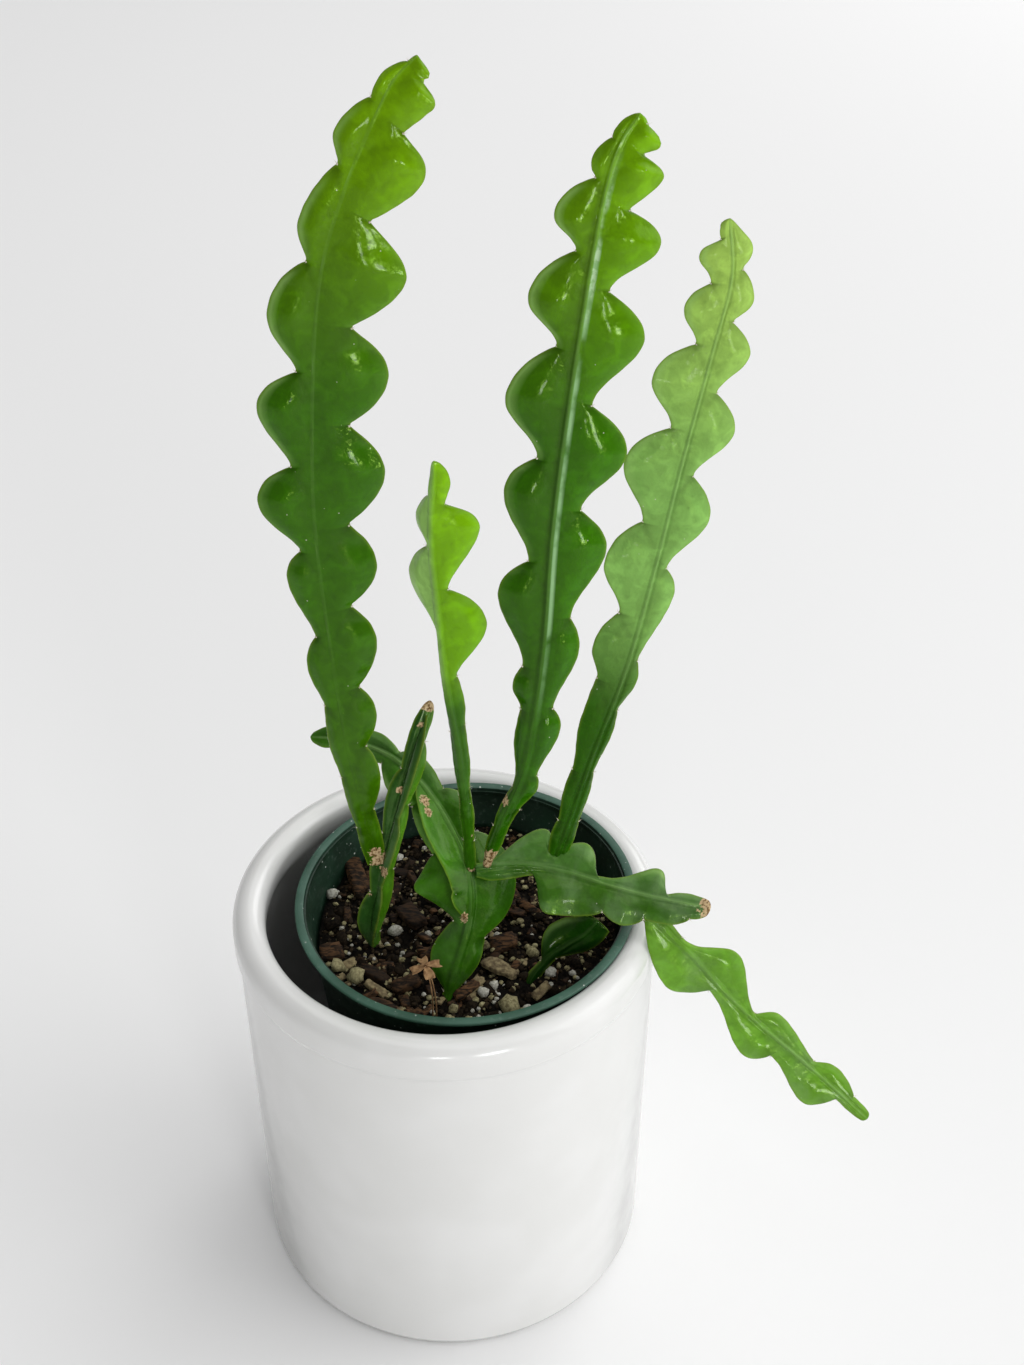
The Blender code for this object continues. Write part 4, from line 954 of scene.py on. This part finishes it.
def half_sheet(spine, keys, swell, hand, stations, slim, taper, ends, look):
    """One half of a blade: points of its front and back, with the marks for its material."""
    scale = spine.length / keys[-1][0]
    distance, width = edge_rows(keys, swell, spine.length, stations)
    wobble = WOBBLE * np.sin(distance * 0.9 + look["seed"]) * np.sin(distance * 0.53)
    width = (width + wobble) * ends
    places = column_places(width)
    half, rounding = thickness(places, width, look["ridge"], slim)
    half = half * taper[:, None]
    share = places / width[:, None]
    along = stations[:, None] + (distance - stations)[:, None] * share
    rising, falling = lobe_shares(keys, scale, distance)
    rows, columns = places.shape
    centre, side, normal = [values.reshape(rows, columns, 3) for values in spine.at(along.ravel())]
    bend = bent_sheet(places, width, along, rising, falling, hand, look)
    sheet = centre + side * (hand * places)[..., None] + normal * bend[..., None]
    vein = np.zeros_like(places)
    for line in crease_lines(keys, scale):
        vein = np.maximum(vein, np.exp(-(near_line(along, places, line) / VEIN_HALF) ** 2))
    vein *= smoothstep(places / 2.5) * rounding
    inset = width[:, None] - places
    marks = {
        "edge": np.exp(-(inset / 0.42) ** 2),
        "rib": np.exp(-(places / look["rib_width"]) ** 2) * np.minimum(1, width / 4)[:, None],
        "vein": vein,
        "height": along / spine.length,
        # Painted light: a glow toward the outer edge of each lobe, and painted shade where each lobe falls
        # into the next notch.
        "glow": share ** 2 * (1 - smoothstep(falling))[:, None],
        "shade": 0.6 * share ** 1.5 * (falling ** 2)[:, None] + 0.6 * share ** 2 * (falling ** 8)[:, None],
        # Painted sheen: a pale band inside the edge, strongest on the left half.
        "milk": (1.0 if hand < 0 else 0.15) * np.exp(-((inset - 0.9) / 0.8) ** 2)
        * (smoothstep((width - 4) / 5) * (1 - smoothstep((falling - 0.6) / 0.4)))[:, None],
        # A painted highlight strip on the right of the rib, and painted shade in the groove on its left.
        "strip": (hand > 0) * smoothstep((places - 0.25) / 0.3) * (1 - smoothstep((places - 1.3) / 0.5)),
        "furrow": (hand < 0) * smoothstep((places - 0.3) / 0.4) * (1 - smoothstep((places - 1.3) / 0.9)),
        "left": np.full_like(places, float(hand < 0)),
    }
    (broad, broad_size), (fine, fine_size) = LOW_BUMPS
    lift = half - VEIN_DEPTH * vein
    skins = []
    for sign in (1, -1):
        flat = (sheet + normal * (sign * lift)[..., None]).reshape(-1, 3)
        uneven = broad * rough(flat, broad_size, look["seed"] + sign)
        uneven = (uneven + fine * rough(flat, fine_size, look["seed"])).reshape(rows, columns)
        skins.append(sheet + normal * (sign * (lift + uneven * rounding))[..., None])
    return *skins, marks, width


def blade_mesh(design, look, span=None):
    """A flat stem as one closed skin: points in mm, faces and marks."""
    spine = Spine(design["spine"], design["face"], span)
    left_spine = Spine(design["spine"], design.get("left_face", design["face"]), span)
    stations = np.linspace(0, spine.length, int(spine.length / ROW_STEP))
    stations = np.concatenate([stations[:-1], spine.length - TIP_ROUND * np.array(TIP_ROWS)])
    count = len(stations)
    taper = np.minimum(1, TIP_SHARE + (spine.length - stations) / TIP_TAPER)
    ends = np.minimum(1, (spine.length - stations) / TIP_ROUND)
    ends = np.sqrt(np.clip(1 - (1 - ends) ** 2, 0.03, 1))
    taper = np.maximum(taper, TIP_LEAST) * ends
    slim = 1 - RIB_SLIMMING * smoothstep(stations / spine.length)
    right = half_sheet(spine, design["right"], design.get("right_swell", PLAIN_SWELL), 1,
                       stations, slim, taper, ends, look)
    left = half_sheet(left_spine, design["left"], design.get("left_swell", PLAIN_SWELL), -1,
                      stations, slim, taper, ends, look)
    centre, _, normal = spine.at(stations)
    normal = normal + left_spine.at(stations)[2]
    normal /= np.linalg.norm(normal, axis=1)[:, None]
    narrow = np.minimum(1, right[3] / 3)
    crest = (BLADE_HALF + cord(np.zeros(count), look["ridge"], slim) * narrow) * taper
    middle = [centre + normal * (sign * crest)[:, None] for sign in (1, -1)]

    def ring(front_right, front_left, front_middle, back_right, back_left, back_middle):
        """One closed row: right edge, front, left edge, back."""
        return np.concatenate([front_right[:, ::-1], front_middle, front_left,
                               back_left[:, -2::-1], back_middle, back_right[:, :-1]], axis=1)

    points = ring(right[0], left[0], middle[0][:, None], right[1], left[1], middle[1][:, None])
    marks = {}
    for name in right[2]:
        at_middle = (right[2][name][:, :1] + left[2][name][:, :1]) / 2
        marks[name] = ring(right[2][name], left[2][name], at_middle,
                           right[2][name], left[2][name], at_middle).ravel()
    columns = points.shape[1]
    faces = ring_faces(0, count, columns)
    faces.append(tuple(range(columns - 1, -1, -1)))
    faces.append(tuple(range((count - 1) * columns, count * columns)))
    return points.reshape(-1, 3), faces, marks


def dry_share(points, dry_marks):
    """How dry and corky the skin is near each given spot, 0 to 1."""
    share = np.zeros(len(points))
    for x, y, z, radius in dry_marks:
        away = np.linalg.norm(points - np.array((x, y, z)), axis=1)
        share = np.maximum(share, np.clip(1.2 - away / radius, 0, 1))
    return share


def make_stem(name, node, design, look, material, dry_marks=()):
    """A stem with its further wings, in place of the plain solid."""
    points, faces, marks = blade_mesh(design, look)
    for wing in design.get("wings", ()):
        root = [(key[0], WING_ROOT) for key in wing["right"]]
        more, more_faces, more_marks = blade_mesh({"spine": design["spine"], "left": root, **wing},
                                                  look, wing["span"])
        more_marks["left"] = np.ones(len(more))
        shift = len(points)
        points = np.vstack([points, more])
        faces += [tuple(corner + shift for corner in face) for face in more_faces]
        for key in marks:
            marks[key] = np.concatenate([marks[key], more_marks[key]])
    marks["dry"] = dry_share(points, dry_marks)
    piece = add_piece(name, points, faces, material)
    face_outward(piece)
    add_marks(piece, **marks)
    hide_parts(node)
    return piece


def face_outward(piece):
    """Turns all faces of a closed skin outward."""
    shape = bmesh.new()
    shape.from_mesh(piece.data)
    bmesh.ops.recalc_face_normals(shape, faces=shape.faces)
    shape.to_mesh(piece.data)
    shape.free()


def cone_rows(points, faces, start, direction, length, radius):
    """Adds one fine bristle, a four sided spike."""
    direction = direction / np.linalg.norm(direction)
    side = np.cross(direction, (0.3, 0.5, 0.8))
    side /= np.linalg.norm(side)
    other = np.cross(direction, side)
    base = len(points)
    for across in (side, other, -side, -other):
        points.append(start + across * radius)
    points.append(start + direction * length)
    for corner in range(4):
        faces.append((base + corner, base + (corner + 1) % 4, base + 4))
    faces.append((base + 3, base + 2, base + 1, base))


def tuft(points, faces, ball, centre, radius, rng):
    """Adds one small woolly lump."""
    base = len(points)
    corners, sides = ball
    for corner in corners:
        points.append(centre + corner * radius * rng.uniform(0.75, 1.2))
    faces.extend(tuple(base + corner for corner in side) for side in sides)


def icosahedron():
    """Corners at distance 1, and sides."""
    golden = (1 + 5 ** 0.5) / 2
    corners = [(-1, golden, 0), (1, golden, 0), (-1, -golden, 0), (1, -golden, 0),
               (0, -1, golden), (0, 1, golden), (0, -1, -golden), (0, 1, -golden),
               (golden, 0, -1), (golden, 0, 1), (-golden, 0, -1), (-golden, 0, 1)]
    sides = [(0, 11, 5), (0, 5, 1), (0, 1, 7), (0, 7, 10), (0, 10, 11), (1, 5, 9), (5, 11, 4),
             (11, 10, 2), (10, 7, 6), (7, 1, 8), (3, 9, 4), (3, 4, 2), (3, 2, 6), (3, 6, 8),
             (3, 8, 9), (4, 9, 5), (2, 4, 11), (6, 2, 10), (8, 6, 7), (9, 8, 1)]
    return np.array(corners) / math.hypot(1, golden), sides


def make_bristles(name, designs, material, rng):
    """Woolly points with a few pale bristles in the notches of the stems."""
    points = []
    faces = []
    ball = icosahedron()
    for design in designs:
        for side_name, hand in (("right", 1), ("left", -1)):
            spine = Spine(design["spine"], design.get(side_name + "_face", design["face"]))
            keys = design[side_name]
            scale = spine.length / keys[-1][0]
            for distance, width, *_ in keys[2:-1:2]:
                centre, side, normal = [values[0] for values in spine.at(np.array([distance * scale]))]
                tangent = np.cross(normal, side)
                spot = centre + side * hand * (width - 0.15)
                tuft(points, faces, ball, spot, TUFT_RADIUS, rng)
                for _ in range(rng.randint(2, 4)):
                    way = (side * hand * rng.uniform(0.3, 1.0) + tangent * rng.uniform(0.3, 1.0)
                           + normal * rng.uniform(-0.3, 0.8))
                    cone_rows(points, faces, spot, way, rng.uniform(*BRISTLE_LENGTH), BRISTLE_RADIUS)
    return add_piece(name, points, faces, material, smooth=False)


def soil_radius(height):
    """The radius of the soil inside the grower's pot at a height in that pot, in mm."""
    wall_height = GROWER_HEIGHT - GROWER_RIM_THICK - GROWER_WALL_START
    share = (height - GROWER_WALL_START) / wall_height
    return GROWER_BASE + (GROWER_NECK - GROWER_BASE) * share - GROWER_WALL - SOIL_CLEAR


def soil_relief(x, y):
    """The uneven level of the soil's top, the same as the solid's, in mm."""
    return SOIL_RELIEF * (math.sin(x * 0.31 + 1.3) * math.cos(y * 0.27 - 0.4) * 0.5
                          + math.sin(x * 0.73 - y * 0.52 + 2.1) * 0.3
                          + math.cos(x * 0.94 + y * 1.13) * 0.2)


def soil_height(x, y):
    """The fine height of the soil's top at a place in the pot's frame, in mm."""
    clods = noise.noise(Vector((x, y, 3)) / 3.1) * 0.8 + noise.noise(Vector((x, y, 9)) / 1.1) * 0.3
    return SOIL_LEVEL + soil_relief(x, y) + clods - 0.4


def make_soil_surface(material):
    """The soil as a closed body with a fine crumbly top."""
    outer = soil_radius(SOIL_LEVEL - 3)
    points = [(0, 0, soil_height(0, 0))]
    for ring in range(1, SOIL_RINGS + 1):
        for x, y, _ in circle(SOIL_SIDES, outer * ring / SOIL_RINGS, 0):
            points.append((x, y, soil_height(x, y)))
    low = GROWER_FLOOR + 0.3
    points += circle(SOIL_SIDES, soil_radius(low), low)
    faces = ring_faces(1, SOIL_RINGS + 1, SOIL_SIDES, inward=True)
    last = len(points)
    points.append((0, 0, low))
    for side in range(SOIL_SIDES):
        after = (side + 1) % SOIL_SIDES
        faces.append((0, 1 + side, 1 + after))
        faces.append((last, last - SOIL_SIDES + after, last - SOIL_SIDES + side))
    return add_piece("soil_surface", points, faces, material, in_pot=True)


def corners_and_sides(shape):
    """The corners and sides of a shape, which is freed."""
    corners = np.array([tuple(vert.co) for vert in shape.verts])
    sides = [tuple(vert.index for vert in face.verts) for face in shape.faces]
    shape.free()
    return corners, sides


def base_ball(steps):
    """Corners and sides of a round ball cut from an icosahedron."""
    shape = bmesh.new()
    bmesh.ops.create_icosphere(shape, subdivisions=steps, radius=1)
    return corners_and_sides(shape)


def base_box(steps):
    """Corners and sides of a box with rounded edges, from -1 to 1."""
    shape = bmesh.new()
    bmesh.ops.create_cube(shape, size=2)
    bmesh.ops.subdivide_edges(shape, edges=shape.edges, cuts=steps, use_grid_fill=True)
    corners, sides = corners_and_sides(shape)
    round_off = corners / np.maximum(np.linalg.norm(corners, axis=1), 1)[:, None]
    return corners * 0.62 + round_off * 0.38, sides


class Heap:
    """Many small bits of soil collected into one mesh."""

    def __init__(self, base, knobbly, seed):
        self.corners, self.sides = base
        self.knobbly = knobbly
        self.rng = random.Random(seed)
        self.points = []
        self.faces = []
        self.tones = []
        self.count = 0

    def add(self, x, y, sizes, lift, turn=None):
        """Adds one bit at a place on the soil, with its half sizes and its lift in mm."""
        rng = self.rng
        lump, fine = [np.array([noise.noise(Vector(corner) * scale + Vector(shift))
                                for corner in self.corners])
                      for scale, shift in ((1.4, (self.count * 3.7, 0, 0)),
                                           (3.6, (0, self.count * 2.3, 0)))]
        shape = self.corners * (1 + self.knobbly * (lump + 0.45 * fine))[:, None] * np.array(sizes)
        if turn is None:
            turn = (rng.uniform(-0.5, 0.5), rng.uniform(-0.5, 0.5), rng.uniform(0, 2 * math.pi))
        turned = shape @ np.array(Euler(turn).to_matrix()).T
        turned += np.array((x, y, soil_height(x, y) + lift * sizes[2]))
        base = self.count * len(self.corners)
        self.points.append(turned)
        self.tones.append(np.full(len(turned), rng.random()))
        self.faces += [tuple(corner + base for corner in side) for side in self.sides]
        self.count += 1

    def scatter(self, count, sizes_low, sizes_high, lift_low, lift_high):
        """Adds many bits, mostly small ones, at random places that are clear of the pot's wall."""
        rng = self.rng
        edge = soil_radius(SOIL_LEVEL)
        for _ in range(count):
            size = rng.random() ** 1.6
            sizes = [low + (high - low) * (0.75 * size + 0.25 * rng.random())
                     for low, high in zip(sizes_low, sizes_high)]
            radius = (edge - max(sizes) * 1.2 - 0.3) * rng.random() ** 0.5
            angle = rng.uniform(0, 2 * math.pi)
            self.add(radius * math.cos(angle), radius * math.sin(angle), sizes,
                     rng.uniform(lift_low, lift_high))

    def make(self, name, material, smooth):
        """Makes the piece."""
        piece = add_piece(name, np.vstack(self.points), self.faces, material, smooth, in_pot=True)
        add_marks(piece, tone=np.concatenate(self.tones))


def to_pot(x, y):
    """A place on the soil given in the whole model's mm, in the pot's own frame."""
    top = grower_matrix() @ (Vector((0, 0, SOIL_LEVEL)) * MM) / MM
    return x - top.x, y - top.y


def make_heap(name, base, material, spots=(), smooth=True):
    """One kind of loose bit: many at random, then the larger ones at their places."""
    knobbly, seed, *scattered = HEAPS[name]
    heap = Heap(base, knobbly, seed)
    heap.scatter(*scattered)
    for x, y, *form in spots:
        heap.add(*to_pot(x, y), *form)
    heap.make(name, material, smooth)


def make_soil():
    """The soil's surface with its bark, flakes, perlite, pumice and fine crumbs."""
    dark = speckled_material("soil_dark", (0.0012, 0.0009, 0.0006), (0.008, 0.006, 0.004), 1.0, 0.95, 0.6,
                             gloss=0.1)
    surface = make_soil_surface(dark)
    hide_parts("soil_mix")
    crumb = speckled_material("crumb_brown", (0.004, 0.0025, 0.0015), (0.048, 0.032, 0.016), 1.0,
                              toned=0.55, gloss=0.15)
    make_heap("soil_crumbs", base_ball(1), crumb, smooth=False)
    clod = speckled_material("clod_dark", (0.002, 0.0012, 0.0008), (0.022, 0.015, 0.008), 0.8,
                             depth_mm=0.5, toned=0.4, gloss=0.1)
    make_heap("soil_clods", base_ball(2), clod)
    bark = bark_material("bark_brown", (0.007, 0.0045, 0.0028), (0.15, 0.075, 0.032))
    make_heap("soil_bark", base_box(3), bark,
              [(x, y, (length, width, 1.4), 0.7, (0.15, -0.12, turn))
               for x, y, length, width, turn in BARK_SPOTS])
    tan = speckled_material("flake_tan", (0.055, 0.035, 0.014), (0.30, 0.24, 0.12), 1.4, toned=0.35)
    make_heap("soil_flakes", base_box(3), tan,
              [(x, y, (length, width, 0.7), 1.6, (0.20, -0.15, turn))
               for x, y, length, width, turn in FLAKE_SPOTS])
    white = speckled_material("perlite_white", (0.26, 0.25, 0.20), (0.60, 0.59, 0.52), 0.7, toned=0.3)
    make_heap("soil_perlite", base_ball(2), white,
              [(x, y, (size, size * 0.92, size * 0.85), 0.6) for x, y, size in PERLITE_SPOTS])
    yellow = speckled_material("pumice_yellow", (0.085, 0.068, 0.024), (0.42, 0.38, 0.20), 0.8, toned=0.45)
    make_heap("soil_pumice", base_ball(2), yellow,
              [(x, y, (size, size * 0.9, size * 0.8), 0.6) for x, y, size in PUMICE_SPOTS])


def make_stems():
    """Every stem with its green and its own dry marks. The right stem's paler middle and top, the young
    stem's paler left half and the trailing cutting's paler upper half are painted sheen, and the low
    blade's near-black green is painted shade.
    """
    tall = stem_material("stem_tall", (0.029, 0.098, 0.0005), (0.022, 0.094, 0.0005),
                         (0.125, 0.270, 0.0005))
    broad = stem_material("stem_broad", (0.016, 0.088, 0.0005), (0.026, 0.118, 0.0005),
                          (0.130, 0.300, 0.0005), left=0.72, strip=0.75, rib=0.45)
    # The paler left half of its upper part is a painted sheen.
    young = stem_material("stem_young", (0.022, 0.095, 0.002), (0.115, 0.29, 0.001),
                          (0.15, 0.35, 0.001), rise=(0.43, 0.55), left=(0.22, 0.40, 0.10),
                          left_rise=(0.46, 0.56), rib=0.15)
    # Its pale middle and top are a painted sheen over the dark green lower stem.
    pale = stem_material("stem_sheen_painted", (0.012, 0.070, 0.0005), (0.160, 0.325, 0.072),
                         (0.275, 0.435, 0.078), rise=(0.24, 0.48), shine=0.24, coat=0.06)
    hanging = stem_material("stem_hanging", (0.095, 0.235, 0.018), (0.100, 0.250, 0.020),
                            (0.095, 0.24, 0.014), shine=0.2, bloom_and_sheen=0.25)
    cutting = stem_material("stem_cutting", (0.050, 0.170, 0.004), (0.065, 0.200, 0.008),
                            (0.030, 0.110, 0.005), left=(0.014, 0.052, 0.010), shine=0.2, bloom_and_sheen=0.10)
    old = stem_material("stem_aged", (0.020, 0.082, 0.002), (0.020, 0.085, 0.003),
                        (0.030, 0.11, 0.008), left=(0.040, 0.150, 0.006), left_rise=(0.30, 0.38),
                        shine=0.2, bloom_and_sheen=0.14)
    # The paler left half, which lies uppermost, is painted light.
    trailing = stem_material("stem_trailing", (0.026, 0.092, 0.008), (0.034, 0.108, 0.008),
                             (0.026, 0.090, 0.007), left=(0.050, 0.135, 0.022), shine=0.17, bloom_and_sheen=0.36)
    shaded = stem_material("stem_shaded", (0.004, 0.030, 0.0015), (0.004, 0.030, 0.0015),
                           (0.006, 0.038, 0.002), shine=0.3, rib=0.12)
    make_stem("tall_left_skin", "tall_left_stem", TALL_LEFT, LOOKS["tall"], tall,
              [(-19.0, -6.4, 158.5, 4.0), (-20.6, -6.6, 162.5, 2.6)])
    make_stem("tall_middle_skin", "tall_middle_stem", TALL_MIDDLE, LOOKS["broad"], broad,
              [(12.6, -7.5, 157, 6.5), (13.8, -8.8, 162.5, 3.4), (18.3, -6.6, 182.2, 2.4)])
    make_stem("right_skin", "right_stem", RIGHT_STEM, LOOKS["grooved"], pale,
              [(33.4, -4.5, 156.5, 2.0)])
    make_stem("young_skin", "young_stem", YOUNG_STEM, LOOKS["folded"], young,
              [(7.8, -6.4, 155.4, 2.4), (9.2, -8.6, 170, 1.2)])
    make_stem("hanging_skin", "hanging_stem", HANGING_STEM, LOOKS["folded"], hanging)
    make_stem("left_cutting_skin", "left_cutting", LEFT_CUTTING, LOOKS["old"], cutting,
              [(-3.4, 8, 207.5, 4.2), (-23.5, -8, 146, 2.2), (-18.6, -7.2, 155, 2.6),
               (-12.7, -1.5, 181.9, 1.5), (-6.4, 4.2, 201.5, 1.2)])
    make_stem("mother_skin", "mother_cutting", MOTHER_CUTTING, LOOKS["old"], old,
              [(-6.0, 5.5, 172.2, 2.6), (-4.9, 2.5, 170.2, 2.0), (5.8, -17.0, 145.0, 2.2)])
    make_stem("trailing_skin", "trailing_cutting", TRAILING_CUTTING, LOOKS["old"], trailing,
              [(79, -20.4, 152.6, 4.5)])
    make_stem("low_blade_skin", "low_blade", LOW_BLADE, LOOKS["old"], shaded)


def make_seedling(material):
    """A dried clover-like seedling: two thin stalks and narrow drooping leaflets."""
    points = []
    faces = []
    top = np.array(SEEDLING_TOP)
    for foot, end in zip(SEEDLING_FEET, (top, top + np.array(SECOND_STALK_SHIFT))):
        tube_rows(points, faces, np.array(foot), end, STALK_RADIUS, STALK_BEND)
    for index in range(LEAFLETS):
        angle = 2 * math.pi * index / LEAFLETS + 0.35
        leaflet(points, faces, top, angle, LEAFLET_LENGTH, 0.5 + 0.13 * index)
    piece = add_piece("seedling_dry", points, faces, material)
    face_outward(piece)
    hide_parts("dry_seedling")


def tube_rows(points, faces, foot, end, radius, bend):
    """Adds a thin bent stalk with closed ends."""
    rows, sides = 14, 6
    base = len(points)
    for row in range(rows):
        share = row / (rows - 1)
        centre = foot + (end - foot) * share + np.array((bend * math.sin(math.pi * share), 0, 0))
        points.extend(centre + np.array(circle(sides, radius * (1 - 0.35 * share), 0)))
    faces.extend(ring_faces(base, rows, sides))
    faces.append(tuple(base + side for side in range(sides - 1, -1, -1)))
    faces.append(tuple(base + (rows - 1) * sides + side for side in range(sides)))


def leaflet(points, faces, top, angle, length, drop):
    """Adds one thin heart-ended leaflet with a fold along its middle."""
    rows, columns = 9, 7
    way = np.array((math.cos(angle), math.sin(angle), 0))
    across = np.array((-math.sin(angle), math.cos(angle), 0))
    base = len(points)
    for sign in (1, -1):
        for row in range(rows):
            share = row / (rows - 1)
            width = 0.34 * length * math.sin(math.pi * min(share * 0.62 + 0.03, 1)) ** 0.8
            for column in range(columns):
                place = 2 * column / (columns - 1) - 1
                out = length * (share - 0.1 * (1 - abs(place)) * share ** 3)
                height = -0.9 * share - 0.5 * (1 - abs(place)) - drop
                rise = np.array((0, 0, height + sign * 0.12))
                points.append(top + way * out + across * width * place + rise)
    count = rows * columns
    for row in range(rows - 1):
        for column in range(columns - 1):
            first = base + row * columns + column
            quad = (first, first + 1, first + columns + 1, first + columns)
            faces.append(quad)
            faces.append(tuple(corner + count for corner in reversed(quad)))
    rim = list(range(columns))
    rim += [row * columns + columns - 1 for row in range(1, rows)]
    rim += [(rows - 1) * columns + column for column in range(columns - 2, -1, -1)]
    rim += [row * columns for row in range(rows - 2, 0, -1)]
    for index, corner in enumerate(rim):
        after = rim[(index + 1) % len(rim)]
        faces.append((base + corner, base + corner + count, base + after + count, base + after))


def main():
    """Builds the whole scene."""
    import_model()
    make_camera()
    make_light()
    make_floor()
    make_cover_pot()
    make_grower_pot()
    make_soil()
    make_stems()
    bristle = speckled_material("bristle_pale", (0.45, 0.40, 0.28), (0.75, 0.72, 0.60), 0.5, 0.8, 0.02)
    make_bristles("bristles_fresh", [TALL_LEFT, TALL_MIDDLE, YOUNG_STEM, HANGING_STEM], bristle,
                  random.Random(21))
    make_bristles("bristles_old", [RIGHT_STEM, LEFT_CUTTING, MOTHER_CUTTING, TRAILING_CUTTING, LOW_BLADE],
                  bristle, random.Random(22))
    make_seedling(speckled_material("seedling_brown", (0.16, 0.08, 0.03), (0.34, 0.20, 0.09), 1.5))


main()
